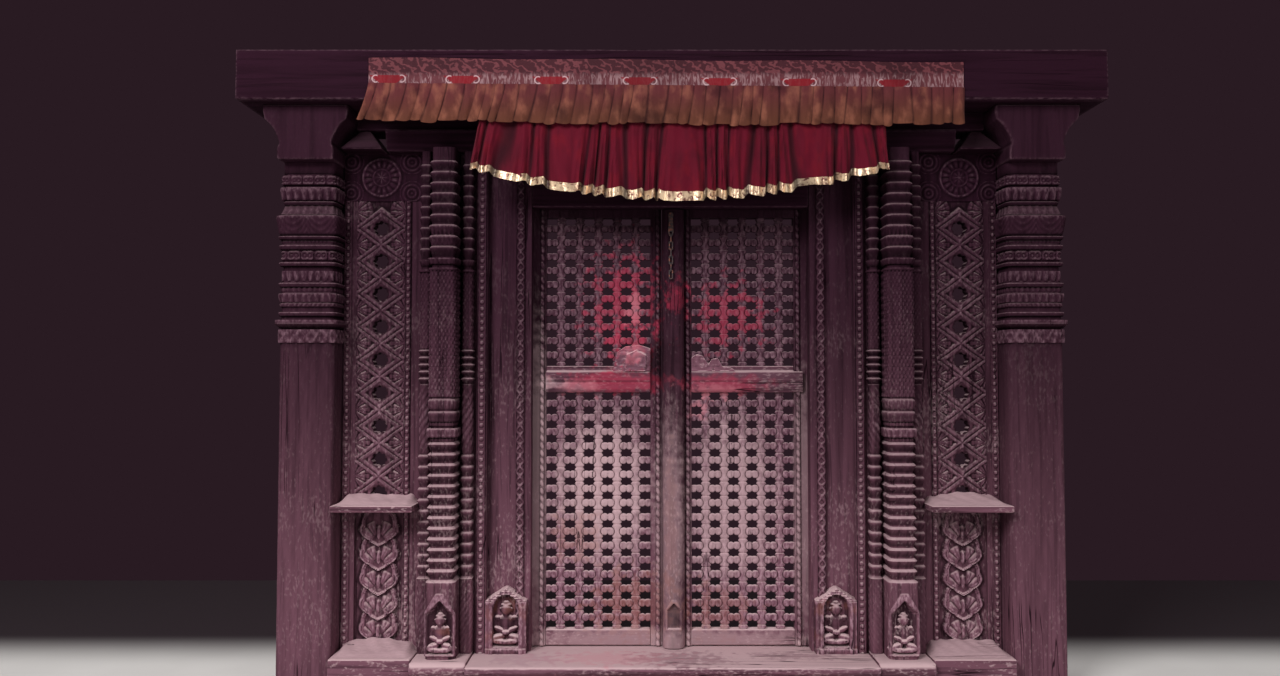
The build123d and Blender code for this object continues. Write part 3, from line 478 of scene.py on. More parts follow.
def smooth_step(value, low, high):
    """0 below low and 1 above high, with a soft change."""
    t = np.clip((value - low) / (high - low), 0, 1)
    return t * t * (3 - 2 * t)


def dome(distance, radius):
    """Height of a round boss, from 1 at its middle to 0 at its edge."""
    return np.sqrt(np.clip(1 - (distance / radius) ** 2, 0, 1))


def wear(x, z, amount, seed=0.0):
    """Uneven wear of a carved surface, the same at every run."""
    rough = np.sin(x * 0.071 + seed) * np.sin(z * 0.053 + 1.7 * seed) \
        + 0.5 * np.sin(x * 0.19 + z * 0.13 + seed) + 0.35 * np.sin(z * 0.31 - x * 0.23)
    return amount * rough / 1.85


# Patterns: heights in millimetres of carved ornament, from places along and across a band

def beads(across, along, width, pitch, depth, slant=0.0, fill=0.46):
    """A row of round beads, which take up twice fill of their pitch."""
    phase = ((along + slant * across) / pitch) % 1.0 - 0.5
    return depth * dome(np.hypot(across / (width / 2), phase / fill), 1.0)


def twist(across, along, width, pitch, depth):
    """A twisted rope of crossing strands."""
    u, v = across / width, along / pitch
    strand = np.maximum(np.cos(2 * math.pi * (u + v)), np.cos(2 * math.pi * (u - v)))
    return depth * smooth_step(strand, 0.1, 0.95) * dome(across, width * 0.56)


def petals(across, along, pitch, tall, depth):
    """A row of round petals with a rib; along runs across the row and across runs up it."""
    u = (along / pitch) % 1.0 - 0.5
    v = np.clip(across / tall, 0, 1)
    edge = np.abs(u) / (0.48 * np.sqrt(np.clip(1 - (v - 0.15) ** 2, 0.02, 1)))
    return depth * (dome(edge, 1.0) + 0.25 * np.exp(-(u / 0.07) ** 2) * (edge < 0.9))


def scales(across, along, width, tall, depth):
    """Small overlapping leaves, row over row."""
    row = np.floor(along / tall)
    v = along / tall - row
    u = (across / width + 0.5 * (row % 2)) % 1.0 - 0.5
    tip = np.sqrt(np.clip(v, 0, 1)) * 0.5
    leaf = smooth_step(tip - np.abs(u), -0.06, 0.14)
    return depth * leaf * (1.05 - 0.75 * v) + 0.25 * depth * np.exp(-(u / 0.07) ** 2) * (v < 0.8)


def chips(across, along, tall, pitch, depth):
    """Chip-carved diamonds."""
    u = np.abs((along / pitch) % 1.0 - 0.5) * 2
    v = np.abs(across) / (tall / 2)
    return depth * (1 - np.abs(1 - np.clip(u + v, 0, 2)))


# Lattice

def upright_half(t):
    """Half width of a lattice upright at a phase of its pitch, 0 in the middle of a hole."""
    t = np.abs(t)
    rise = 10.5 + 6.8 * np.clip(t / 0.15, 0, 1) ** 0.6
    fall = 8.0 + 9.3 * np.clip((0.5 - t) / 0.32, 0, 1) ** 2.2
    return np.minimum(rise, fall)


def upright_strip(x, z0, z1, holes, pitch, front, back, seed):
    """A long slat with two lobes and a notch at each hole, crowned across its width."""
    phase = np.array([0, .012, .04, .09, .15, .2, .26, .34, .44])
    steps = np.concatenate([-phase[::-1][:-1], phase])
    z = np.unique(np.concatenate([h + steps * pitch for h in holes] + [[z0, z1]]))
    z = z[(z >= z0) & (z <= z1)]
    nearest = holes[np.argmin(np.abs(z[:, None] - holes[None, :]), axis=1)]
    t = (z - nearest) / pitch
    half = upright_half(t) + wear(np.full_like(z, x), z, 0.8, seed)
    across = np.array([-1.0, -0.72, 0.0, 0.72, 1.0])
    lift = np.array([2.4, 0.5, 0.0, 0.5, 2.4])
    worn = wear(np.full_like(z, x), z * 1.3, 0.9, seed + 2)
    rows = []
    for zi, hi, ti, wi in zip(z, half, t, worn):
        dip = 1.8 * math.exp(-(ti / 0.03) ** 2)
        front_row = [(x + a * hi, front + lf + dip + abs(wi), zi) for a, lf in zip(across, lift)]
        rows += front_row + [(x + hi, back, zi), (x - hi, back, zi)]
    points = np.array(rows)
    faces = grid_quads(len(z), 7, closed=True)
    # The crown of the slat is pale with wear and painted highlight, and its sides and back take
    # painted shade.
    relief = np.tile(np.array([.5, .9, 1, .9, .5, .1, .1]), len(z))
    return points, faces, relief


def link_plate(x, z, pitch_x, pitch_z, front, back, seed):
    """A lattice link with rounded ends and a notch between its two lobes, on a recessed web."""
    tall = 13.2
    up = np.linspace(-tall * 0.86, tall * 0.86, 5)
    ends = pitch_x / 2 - 1.0 - upright_half(0.5 - np.abs(up) / pitch_z)
    flat = np.linspace(-1, 1, 9)[1:-1] * ends[0]
    lobes = tall * (1 - 0.1 * (np.abs(np.abs(flat) - 9) / 9) ** 2)
    foot = -lobes + 5.2 * np.exp(-(flat / 3.4) ** 2)
    head = lobes - 2.0 * np.exp(-(flat / 3.4) ** 2) * (1 + math.sin(seed * 5))
    outline = np.concatenate([np.stack([ends, up], -1), np.stack([flat[::-1], head[::-1]], -1),
                              np.stack([-ends[::-1], up[::-1]], -1), np.stack([flat, foot], -1)])
    outline = outline + wear(x + outline[:, 0], z + outline[:, 1], 0.6, seed)[:, None]
    count = len(outline)
    loops, relief = [], []
    # Each ring's relief: the face is pale with wear and painted highlight, and the rim and the
    # groove take painted shade.
    for scale, lift, mark in ((1.0, 2.6, 0.35), (0.9, 0.8, 0.85), (0.62, 0.0, 1.0),
                              (0.2, 0.3, 0.95)):
        px, pz = outline[:, 0] * scale, outline[:, 1] * scale
        groove = 1.5 * np.exp(-(px / 3.5) ** 2) * (pz < 4)
        loops.append(np.stack([x + px, front + lift + groove, z + pz], axis=-1))
        relief.append(np.full(count, mark) - 0.3 * groove)
    behind = loops[0].copy()
    behind[:, 1] = back
    points = np.concatenate([behind] + loops)
    faces = grid_quads(5, count, closed=True).tolist()
    faces.append(list(range(4 * count, 5 * count)))
    plate = points, faces, np.concatenate([np.zeros(count)] + relief)
    # The recessed web takes painted shade.
    web = [(x + a * (pitch_x / 2 - 4), y, z + b * tall * 0.8)
           for y in (front + 5.5, back - 2) for a, b in ((-1, -1), (1, -1), (1, 1), (-1, 1))]
    sides = [[0, 1, 2, 3], [3, 2, 6, 7], [1, 0, 4, 5], [7, 6, 5, 4]]
    return join_parts([plate, (np.array(web), sides, np.full(8, 0.18))])


def lattice_holes(low, high, member, pitch):
    """Centres of the holes between evenly spaced members, and their pitch."""
    count = max(1, round((high - low + member) / pitch))
    step = (high - low + member) / count
    return low - member / 2 + step * (np.arange(count) + 0.5), step


def lattice_parts(side):
    """Uprights and link plates of one leaf, from the fields between its rails."""
    rail = {name: box_mm(side + "_" + name) for name in ("bottom_rail", "mid_rail", "top_rail")}
    x0, x1 = rail["top_rail"][0][0], rail["top_rail"][1][0]
    fields = ((rail["bottom_rail"][1][2], rail["mid_rail"][0][2]),
              (rail["mid_rail"][1][2], rail["top_rail"][0][2]))
    uprights = box_mm(side + "_uprights")
    front, back = uprights[0][1], uprights[1][1]
    columns, pitch_x = lattice_holes(x0, x1, member=28.0, pitch=66.0)
    parts = []
    for z0, z1 in fields:
        holes, pitch_z = lattice_holes(z0, z1, member=22.7, pitch=50.8)
        for i in range(1, len(columns)):
            x = (columns[i - 1] + columns[i]) / 2
            parts.append(upright_strip(x, z0, z1, holes, pitch_z, front, back, i * 1.7))
        for i, x in enumerate(columns):
            for j in range(1, len(holes)):
                z = (holes[j - 1] + holes[j]) / 2
                parts.append(link_plate(x, z, pitch_x, pitch_z, front + 1.2, back, i + j * 0.6))
    return parts


# Columns

RING_CREST = 0.76  # height of a ring's widest place, as a share of the ring's height
RING_LEVELS = np.array([0, 0.2, 0.38, 0.54, 0.66, RING_CREST, 0.85, 0.92, 0.97, 1])
BAND_GAP = 0.3  # keeps the last level of a band off the first one of the next, in millimetres


def band(tall, start, end=None, bulge=0.0, pattern=None):
    """One band of a column: its height, its half width below and above, and its ornament."""
    return tall, start, start if end is None else end, bulge, pattern


def running_mean(values, reach):
    """Values averaged over their neighbours within reach."""
    width = 2 * reach + 1
    return np.convolve(np.pad(values, reach, mode="edge"), np.ones(width) / width, mode="valid")


def column_levels(z0, bands, step):
    """Levels of a column: height, half width, pattern, height in the band, the band's height, and
    the painted light and shade that its profile gives it."""
    levels = []
    z = z0
    for tall, start, end, bulge, pattern in bands:
        fine = step if pattern else step * 6
        count = max(2, int(math.ceil(tall / fine)) + 1)
        for t in RING_LEVELS if bulge and not pattern else np.linspace(0, 1, count):
            inner = min(max(t, BAND_GAP / tall), 1 - BAND_GAP / tall)
            swell = 0
            if bulge:
                swell = min((t / RING_CREST) ** 1.4, ((1 - t) / (1 - RING_CREST)) ** 0.6)
            radius = start + (end - start) * t + bulge * swell
            levels.append((z + inner * tall, radius, pattern, t * tall, tall))
        z += tall
    heights, radii = np.array([(level[0], level[1]) for level in levels]).T
    fine = np.arange(z0, z, 1.0)
    profile = np.interp(fine, heights, radii)
    # Painted light and shade: rings that stand out and faces that look up are paler, faces that
    # look down darker.
    proud = profile - running_mean(profile, 16)
    slope = np.clip(np.gradient(running_mean(profile, 3)), -0.8, 0.6)
    shade = np.interp(heights, fine, 0.36 + 0.05 * proud - 0.42 * slope)
    return [(*level, tone) for level, tone in zip(levels, shade)]


def wrapped_column(cx, cy, back, levels, turns, power):
    """A column with a squarish plan and carved bands, flat at its back."""
    angle = np.linspace(math.pi, 2 * math.pi, turns)
    c, s = np.cos(angle), np.sin(angle)
    unit = 1 / (np.abs(c) ** power + np.abs(s) ** power) ** (1 / power)
    ux, uy = c * unit, s * unit
    arc = np.concatenate([[0], np.cumsum(np.hypot(np.diff(ux), np.diff(uy)))])
    arc = arc - arc[-1] / 2
    points, relief = [], []
    for z, radius, pattern, v, tall, shade in levels:
        u = arc * radius
        h = pattern(u, np.full_like(u, v), tall) if pattern else np.zeros_like(u)
        h = h - wear(u * 2 + cx, np.full_like(u, z), 0.5, 1.0)
        x, y = cx + ux * (radius + h), cy + uy * (radius + h)
        edge = np.array([[x[0], back, z]]), np.array([[x[-1], back, z]])
        points.append(np.concatenate([edge[0], np.stack([x, y, np.full_like(x, z)], -1), edge[1]]))
        # The relief carries the profile's painted light and shade, paler where the carving stands
        # out.
        mark = np.clip(shade + h * 0.11, 0, 1)
        relief.append(np.concatenate([[0.2], mark, [0.2]]))
    rows = len(levels)
    faces = grid_quads(rows, turns + 2, closed=True).tolist()
    first = list(range(turns + 2))
    last = [k + (rows - 1) * (turns + 2) for k in first]
    return np.concatenate(points), faces + [first[::-1], last], np.concatenate(relief)


def niche_pattern(width, low, tall, rise, deep, rim=7.0, proud=2.5):
    """A recess with a pointed top in the middle of a column's front, with a proud rim round it."""
    def carve(u, v, _):
        w = v - low
        half = width / 2 * np.where(w > tall - rise, np.clip((tall - w) / rise, 0, 1), 1.0)
        inside = (w > 0) & (w < tall)
        recess = smooth_step(half - np.abs(u), -1.0, 1.5) * inside
        gable = np.clip((tall + 2 * rim - w) / (rise + 2 * rim), 0, 1)
        outer = width / 2 * np.where(w > tall - rise, gable, 1.0) + rim
        border = smooth_step(outer - np.abs(u), -1, 1) * (w > -7) * (w < tall + 2 * rim)
        return proud * border * (1 - recess) - deep * recess
    return carve


def leaf_ring(pitch, depth, hanging=False):
    """A ring of petals, upright or hanging."""
    def carve(u, v, tall):
        return petals(tall - v if hanging else v, u, pitch, tall, depth)
    return carve


def bead_ring(pitch, depth):
    """A ring of beads."""
    return lambda u, v, tall: beads(v - tall / 2, u, tall * 0.9, pitch, depth)


def scale_ring(width, tall_scale, depth):
    """Small scales over the whole band."""
    return lambda u, v, tall: scales(u, v, width, tall_scale, depth)


def chip_ring(pitch, depth):
    """Chip-carved diamonds round the band."""
    return lambda u, v, tall: chips(v - tall / 2, u, tall, pitch, depth)


def rope_ring(pitch, depth):
    """A twisted rope round the band."""
    return lambda u, v, tall: beads(v - tall / 2, u, tall, pitch, depth, slant=0.7)


def main_column_bands(height, r=50.0, waist=40.0):
    """Bands of a colonette's main column, from its base block up."""
    scale = sizes().scale_w / MM
    niche = niche_pattern(width=84, low=16, tall=180, rise=44, deep=24, rim=12, proud=5)
    low = [band(257, r + 2, pattern=niche), band(8, r + 1, waist)]
    low += [band(35.8, waist, bulge=10)] * 13
    low += [band(16, waist + 1, pattern=bead_ring(12, 2)),
            band(30, r + 1, r - 1, 2, leaf_ring(19, 2.5, hanging=True)), band(6, waist),
            band(16, waist + 2, pattern=bead_ring(11, 2)),
            band(36, r - 4, bulge=5), band(6, r - 6),
            band(36, r - 5, bulge=3, pattern=bead_ring(14, 3)), band(6, r - 6)]
    neck = [band(8, r), band(12, waist), band(22, waist + 3, r + 1, pattern=leaf_ring(16, 2)),
            band(6, waist)]
    top = []
    for i in range(9):
        pattern = {2: leaf_ring(14, 2, hanging=True), 1: chip_ring(16, 3)}.get(i)
        top.append(band(37, waist, bulge=9, pattern=pattern))
    crown = [band(46, waist)]
    used = sum(b[0] for b in low + neck + top + crown)
    shaft = [band(height - used, r - 4, pattern=scale_ring(scale, scale, 4.0))]
    return low + shaft + neck + top + crown


def lobe_bands(height, r=23.0, waist=15.0):
    """Bands of a slim lobe beside the main column."""
    low = [band(255, r - 2, pattern=rope_ring(17, 2.5)), band(10, r, waist)]
    low += [band(38, waist, bulge=8)] * 11
    low += [band(243, waist + 1, pattern=rope_ring(22, 3.5))]
    low += [band(24.4, waist, bulge=8)] * 5
    neck = [band(8, r), band(12, waist), band(22, waist + 1, r), band(6, waist)]
    top = [band(37, waist, bulge=7)] * 9 + [band(46, waist)]
    used = sum(b[0] for b in low + neck + top)
    return low + [band(height - used, waist + 2, pattern=scale_ring(12, 12, 3.5))] + neck + top


def drape_ring(pitch, depth):
    """Curved lines that hang like drapery between points along the top of the band."""
    def carve(u, v, tall):
        place = (u / pitch) % 1.0 - 0.5
        sag = (tall - v) / tall - 0.75 * (1 - 4 * place ** 2)
        return depth * (0.5 + 0.5 * np.cos(2 * math.pi * 3 * sag)) * smooth_step(v, 2, 8)
    return carve


def arc_ring(pitch, depth):
    """Pairs of curled leaves that turn their backs on each other."""
    def carve(u, v, tall):
        place = np.abs((u / pitch) % 1.0 - 0.5) * 2
        curl = np.hypot((place - 0.62) * pitch * 0.5, (v - tall * 0.45)) / (tall * 0.5)
        return depth * (0.5 + 0.5 * np.cos(2 * math.pi * curl * 1.5)) * (place > 0.12)
    return carve


def pillar_bands(r):
    """Bands of a pillar of half width r, from its plain shaft up to the capital."""
    return [
        band(44, r + 1, pattern=chip_ring(36, 6)), band(4, r - 3), band(14, r + 2, r + 16),
        band(13, r + 15), band(12, r - 3), band(14, r + 3, bulge=3), band(16, r - 4),
        band(14, r - 1, pattern=rope_ring(16, 4)), band(3, r - 2),
        band(28, r - 1, r + 1, 2, leaf_ring(22, 4)), band(3, r - 3),
        band(18, r - 4, pattern=bead_ring(18, 4)), band(14, r + 3, bulge=4), band(6, r - 4),
        band(33, r - 6, pattern=leaf_ring(24, 5, hanging=True)), band(16, r - 7),
        band(12, r + 3, bulge=4), band(6, r - 6), band(36, r - 5, pattern=arc_ring(46, 6)),
        band(15, r + 3, bulge=4), band(4, r - 2), band(11, r - 3, pattern=bead_ring(13, 3)),
        band(4, r + 1), band(10, r + 5, bulge=3), band(4, r - 1),
        band(62, r + 4, r + 12, 1.5, drape_ring(92, 3)), band(6, r + 9, r),
        band(30, r + 1, r - 12, pattern=leaf_ring(24, 2.5)), band(14, r - 8, bulge=4),
        band(3, r - 9), band(42, r - 5, r - 2, 4, leaf_ring(26, 5, hanging=True)),
        band(8, r - 9), band(34, r - 4, pattern=arc_ring(40, 6)), band(4, r - 9), band(38, r - 6),
    ]


# Panels

PANEL_FRONT = -60  # front of the bays' plain boards
STARS, STAR_PITCH = 9, 117.0


def lozenge_height(centre, stars, pitch, half_w):
    """Sunk plates round the stars, broad double ribs that cross between them and curled leaves."""
    def height(x, z):
        near = stars[np.argmin(np.abs(z[..., None] - stars), axis=-1)]
        dx, dz = np.abs(x - centre), np.abs(z - near)
        reach = ((dx / 80.0) ** 0.96 + (dz / (pitch / 2)) ** 0.96 - 1) * 40.0
        ribs = 9.5 * np.maximum(dome(reach - 5.5, 6.2), dome(reach + 7.5, 7.6))

        # The sunk plate round the star
        r, turn = np.hypot(dx, dz * 1.04), np.arctan2(dz, dx)
        plate = 2.5 + 3.0 * dome(r - 34, 5.0) * (0.7 + 0.3 * np.cos(8 * turn)) \
            + 2.2 * smooth_step(-reach, 12, 15)
        inner = np.where(reach < -8, plate, 0)

        # The curled leaves in the corners between two lozenges
        ux, uz = half_w - dx, pitch / 2 - dz
        fan = np.arctan2(uz, ux + 6)
        far_out = np.hypot(ux + 6, uz)
        lobe = (fan / (math.pi / 2) * 2.6 + 0.2) % 1.0 - 0.5
        leaf = dome(lobe, 0.5) * dome((far_out - 30) / 32, 1.0)
        vein = 0.4 * np.exp(-(lobe / 0.1) ** 2) + 0.3 * np.exp(-((far_out - 46) / 3.0) ** 2)
        outer = np.where(reach > 9, 9.5 * leaf * (1 - vein), 0)

        # The knot where the ribs cross
        knot = 5.0 * np.exp(-(dx / 10) ** 2) * np.exp(-(uz / 15) ** 2)
        return np.maximum(np.maximum(ribs, inner), outer) + knot + wear(x, z, 0.35)
    return height


def star_hole(centre, stars, radius):
    """Inside one of the pierced stars with eight lobes, or the nearest place on its edge."""
    broader = 1.06

    def inside(x, z, onto_edge=False):
        near = stars[np.argmin(np.abs(z[..., None] - stars), axis=-1)]
        dx, dz = x - centre, (z - near) * broader
        turn = np.arctan2(dz, dx)
        edge = radius * (0.91 + 0.09 * np.cos(8 * turn))
        if onto_edge:
            return centre + edge * np.cos(turn), near + edge * np.sin(turn) / broader
        return np.hypot(dx, dz) < edge
    return inside


def foliage_height(centre, top, tier, count):
    """Overlapping heart-shaped shells: a ribbon round each, petals and a bud inside it."""
    tall, waist, widest = 136, 62, 70

    def height(x, z):
        result = np.zeros_like(x)
        a = np.abs(x - centre)
        for i in range(count):
            v = z - (top - tall - (count - 1 - i) * tier)
            below = np.sin(math.pi / 2 * (np.clip(v, 0, waist) / waist) ** 0.9)
            above = np.sqrt(np.clip(1 - ((v - waist) / (tall - waist)) ** 2, 0, 1))
            half = widest * np.where(v < waist, below, above)
            around = np.arctan2(a, v - 40)
            half = half - 7.0 * (1 - np.abs(np.sin(around * 3.1)) ** 0.7) * (around < 2.5)
            d = half - a
            hang = 13 - 0.085 * v
            ribbon = 6.5 * dome(d - 4.5, 4.5) + 5.5 * dome(d - 13, 3.2)
            bud = 9 * dome(np.hypot(a / 8, (v - 48) / 24), 1.0)
            turn, reach = np.arctan2(a, v - 20), np.hypot(a, v - 20)
            lobe = (turn / 0.56 - 0.35) % 1.0 - 0.5
            petal = 9.0 * dome(lobe, 0.47) * dome((reach - 45) / 24, 1.0) * (a > 8)
            petal = petal * (1 - 0.4 * np.exp(-(lobe / 0.1) ** 2))
            inner = np.where(d > 14, np.maximum(petal, bud), 0)
            result = np.where((v > 0) & (d > 0), hang + np.maximum(ribbon, inner), result)
        return result + wear(x, z, 0.8)
    return height


def medallion_height(cx, cz):
    """A round medallion of petals and rings on a plain board with a beaded edge."""
    def height(x, z):
        dx, dz = x - cx, z - cz
        r, turn = np.hypot(dx, dz), np.arctan2(dz, dx)
        h = 5 * dome(r - 66, 5) + 4 * dome(r - 30, 4)
        h = h + np.where(r < 26, 6 * dome(r, 27) * (0.75 + 0.25 * np.cos(8 * turn)), 0)
        ray = np.abs(((turn / (2 * math.pi) * 16) % 1.0) - 0.5) * 2
        h = h + np.where((r > 34) & (r < 61), 4.5 * (1 - ray ** 2) * dome(r - 48, 15), 0)
        corner = np.hypot(np.abs(dx) - 108, np.abs(dz) - 56)
        h = h + np.where((r > 74) & (corner < 44), 3.5 * (0.5 + 0.5 * np.cos(corner * 0.42)), 0)
        return h + wear(x, z, 0.5)
    return height


def strip(cx, width, z0, z1, step, front, back, pattern):
    """A narrow carved strip that looks to -Y."""
    nx = max(5, int(round(width / step)))
    nz = int(round((z1 - z0) / (step * 1.15)))
    x, z = np.meshgrid(np.linspace(-width / 2, width / 2, nx + 1), np.linspace(z0, z1, nz + 1))
    h = pattern(x, z)
    points = np.stack([x + cx, front - h, z], axis=-1).reshape(-1, 3)
    # Proud beads are pale with wear and painted highlight, and the grooves take painted shade.
    relief = np.clip(h / max(h.max(), 0.1), 0, 1).reshape(-1)
    return close_back(points, grid_quads(nz + 1, nx + 1), relief, back)


# Round forms: figures, mounds and studs

def ball(centre, radii, tilt=0.0, rings=9, turns=14):
    """An ellipsoid, tilted about the Y axis."""
    a = np.linspace(0.001, math.pi - 0.001, rings)
    b = np.linspace(0, 2 * math.pi, turns + 1)[:-1]
    a, b = np.meshgrid(a, b, indexing="ij")
    p = np.stack([np.sin(a) * np.cos(b) * radii[0], np.sin(a) * np.sin(b) * radii[1],
                  -np.cos(a) * radii[2]], axis=-1).reshape(-1, 3)
    c, s = math.cos(tilt), math.sin(tilt)
    turned = np.stack([p[:, 0] * c + p[:, 2] * s, p[:, 1], -p[:, 0] * s + p[:, 2] * c], axis=-1)
    faces = grid_quads(rings, turns, closed=True).tolist()
    faces += [list(range(turns))[::-1], [k + (rings - 1) * turns for k in range(turns)]]
    return turned + np.array(centre), faces, np.full(len(p), 0.8)


def figure_parts(x, y, z, tall, broad):
    """A calm seated figure with a topknot, joined hands and crossed legs."""
    k = tall / 100.0
    w = k * broad

    def at(dx, dy, dz, rx, ry, rz, tilt=0.0):
        return ball((x + dx * w, y + dy * k, z + dz * k), (rx * w, ry * k, rz * k), tilt)

    parts = [at(0, 4, 90, 7, 6, 6), at(0, 2, 76, 11, 10, 12.5), at(0, 5, 86, 11.5, 9, 5),
             at(0, 5, 64, 7, 7, 8), at(0, 6, 48, 17, 10, 19), at(0, 6, 32, 15, 10, 14)]
    for s in (-1, 1):
        parts += [at(s * 17, 5, 56, 7.5, 7.5, 8), at(s * 21, 4, 44, 5.5, 6, 14, s * 0.25),
                  at(s * 13, -2, 33, 12, 5, 5, -s * 0.45), at(s * 20, 1, 14, 19, 10, 9, s * 0.3),
                  at(s * 12, -5, 8, 17, 7, 6, -s * 0.12), at(s * 11.5, 3, 76, 2, 4, 5)]
    parts += [at(0, -5, 27, 8, 5, 5), at(0, 4, 5, 30, 12, 6)]
    return parts


def modify(piece, kind, **settings):
    """A modifier of a kind, with its settings."""
    modifier = piece.modifiers.new(kind.lower(), kind)
    for key, value in settings.items():
        setattr(modifier, key, value)


def evaluated(piece):
    """A new mesh of a piece as its modifiers make it."""
    bpy.context.view_layer.update()
    return bpy.data.meshes.new_from_object(
        piece.evaluated_get(bpy.context.evaluated_depsgraph_get()))


def smooth_lump(name, parts, voxel):
    """Several round forms joined into one worn skin: points, faces and relief."""
    points, faces, _ = join_parts(parts)
    mesh = bpy.data.meshes.new(name)
    mesh.from_pydata((points * MM).tolist(), [], faces)
    lump = add_object(name, mesh)
    modify(lump, "REMESH", mode="VOXEL", voxel_size=voxel * MM)
    modify(lump, "SMOOTH", iterations=3)
    modify(lump, "DECIMATE", ratio=0.35)
    result = evaluated(lump)
    skin = np.array([v.co for v in result.vertices]) / MM
    polygons = [list(p.vertices) for p in result.polygons]
    bpy.data.objects.remove(lump)
    bpy.data.meshes.remove(mesh)
    bpy.data.meshes.remove(result)
    # Parts set further back from the front take painted shade.
    front = skin[:, 1].min()
    return skin, polygons, np.clip(1 - (skin[:, 1] - front) / 18, 0, 1)


def mound(x0, x1, y0, y1, z, tall, seed):
    """A low heap of dust: points, faces and relief."""
    nx, ny = 40, 14
    u, v = np.meshgrid(np.linspace(0, 1, nx + 1), np.linspace(0, 1, ny + 1))
    x, y = x0 + (x1 - x0) * u, y0 + (y1 - y0) * v
    edge = smooth_step(u, 0, 0.1) * smooth_step(1 - u, 0, 0.1) * smooth_step(v, 0, 0.35)
    rough = 0.78 + 0.2 * np.sin(x * 0.024 + seed) * np.cos(y * 0.03 + seed) \
        + 0.05 * np.sin(x * 0.11 + y * 0.07 + seed)
    h = tall * edge * (0.12 + 0.88 * v ** 1.3) * rough
    points = np.stack([x, y, z + h], axis=-1).reshape(-1, 3)
    low = points.copy()
    low[:, 2] = z - 0.3
    faces = grid_quads(ny + 1, nx + 1)
    rim = np.concatenate([np.arange(nx), np.arange(ny) * (nx + 1) + nx,
                          np.arange(ny * (nx + 1) + nx, ny * (nx + 1), -1),
                          np.arange(ny, 0, -1) * (nx + 1)])
    under, following = rim + len(points), np.roll(rim, -1)
    walls = np.stack([rim, under, following + len(points), following], axis=-1)
    used = np.concatenate([points, low])
    return used, np.concatenate([faces, walls]), np.full(len(used), 0.8)


# Worn blocks: CAD timbers with their edges rounded by age

def worn_block(node, material, voxel, keep, rounds=6, rough=0.8, body="frame", carve=None):
    """A CAD timber's shape with its edges worn round, in place of the node. It is remeshed at a
    voxel size, smoothed for some rounds, dented by rough, and keeps a share of its faces. Carve
    gives the depth in millimetres that is cut into its front."""
    lump = add_object(node + "_blank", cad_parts[node].data.copy())
    modify(lump, "REMESH", mode="VOXEL", voxel_size=voxel * MM)
    mesh = evaluated(lump)
    blank = lump.data
    bpy.data.objects.remove(lump)
    bpy.data.meshes.remove(blank)
    sharp = read_points(mesh)
    mesh.materials.clear()
    piece = add_object(node + "_worn", mesh)
    modify(piece, "SMOOTH", iterations=rounds)
    soft_mesh = evaluated(piece)
    soft = read_points(soft_mesh)
    normal = np.empty(len(soft_mesh.vertices) * 3)
    soft_mesh.vertices.foreach_get("normal", normal)
    normal = normal.reshape(-1, 3)
    bulge = np.einsum("ij,ij->i", sharp - soft, normal) / MM
    x, y, z = (soft / MM).T
    dent = rough * (np.sin(x * 0.021 + z * 0.017) * np.sin(y * 0.05 + z * 0.043 + x * 0.011)
                    + 0.5 * np.sin(x * 0.083 + 2) * np.sin(z * 0.091 + y * 0.07))
    edge = np.clip(bulge / 2.5, 0, 1)
    cut = np.abs(dent) * (0.15 + edge)
    # Edges that the smoothing rounded most are paler with wear and painted highlight.
    value = np.clip(0.42 + 0.3 * bulge, 0, 1)
    if carve:
        depth = carve(x, z) * np.clip(-normal[:, 1] * 1.4, 0, 1)
        cut = cut + depth
        # Deeper cuts take painted shade.
        value = np.clip(value + 0.2 - 0.08 * depth, 0, 1)
    moved = soft - normal * MM * cut[:, None]
    mesh.vertices.foreach_set("co", moved.reshape(-1))
    layer = mesh.attributes.new("relief", "FLOAT", "POINT")
    layer.data.foreach_set("value", value.astype(np.float32))
    bpy.data.meshes.remove(soft_mesh)
    piece.modifiers.clear()
    modify(piece, "DECIMATE", ratio=keep)
    light = evaluated(piece)
    piece.modifiers.clear()
    piece.data = light
    bpy.data.meshes.remove(mesh)
    light.name = node + "_worn"
    light.shade_smooth()
    light.materials.append(material)
    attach(piece, body)
    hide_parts(node)
    return piece


def read_points(mesh):
    """A mesh's points as an array."""
    flat = np.empty(len(mesh.vertices) * 3)
    mesh.vertices.foreach_get("co", flat)
    return flat.reshape(-1, 3)


# Finishes

FINISHES = {
    "beam_timber": {"grain": "X", "pale": 0.0, "dusty": 0.12},
    "shaded_timber": {"grain": "Z", "pale": -0.08, "dusty": 0.2},
    "frame_timber": {"grain": "Z", "pale": 0.05, "dusty": 0.7},
    "pillar_timber": {"grain": "Z", "pale": 0.04, "dusty": 0.4, "lively": 0.6},
    "panel_timber": {"grain": "Z", "pale": 0.08, "dusty": 0.8},
    "sill_timber": {"grain": "X", "pale": 0.35, "dusty": 1.3},
    "niche_timber": {"grain": "Z", "pale": 0.7, "dusty": 1.0, "bare": 0.3},
    "leaf_timber": {"grain": "Z", "pale": 0.05, "dusty": 1.0},
    "rail_timber": {"grain": "X", "pale": 0.35, "dusty": 1.0},
    "lattice_timber": {"grain": "Z", "pale": 0.08, "dusty": 0.8, "lively": 0.45},
    "foot_timber": {"grain": "X", "pale": 0.8, "dusty": 1.2, "lively": 0.5},
    "settled_dust": {"grain": "X", "pale": 0.5, "dusty": 0.6, "lively": 0.6},
}


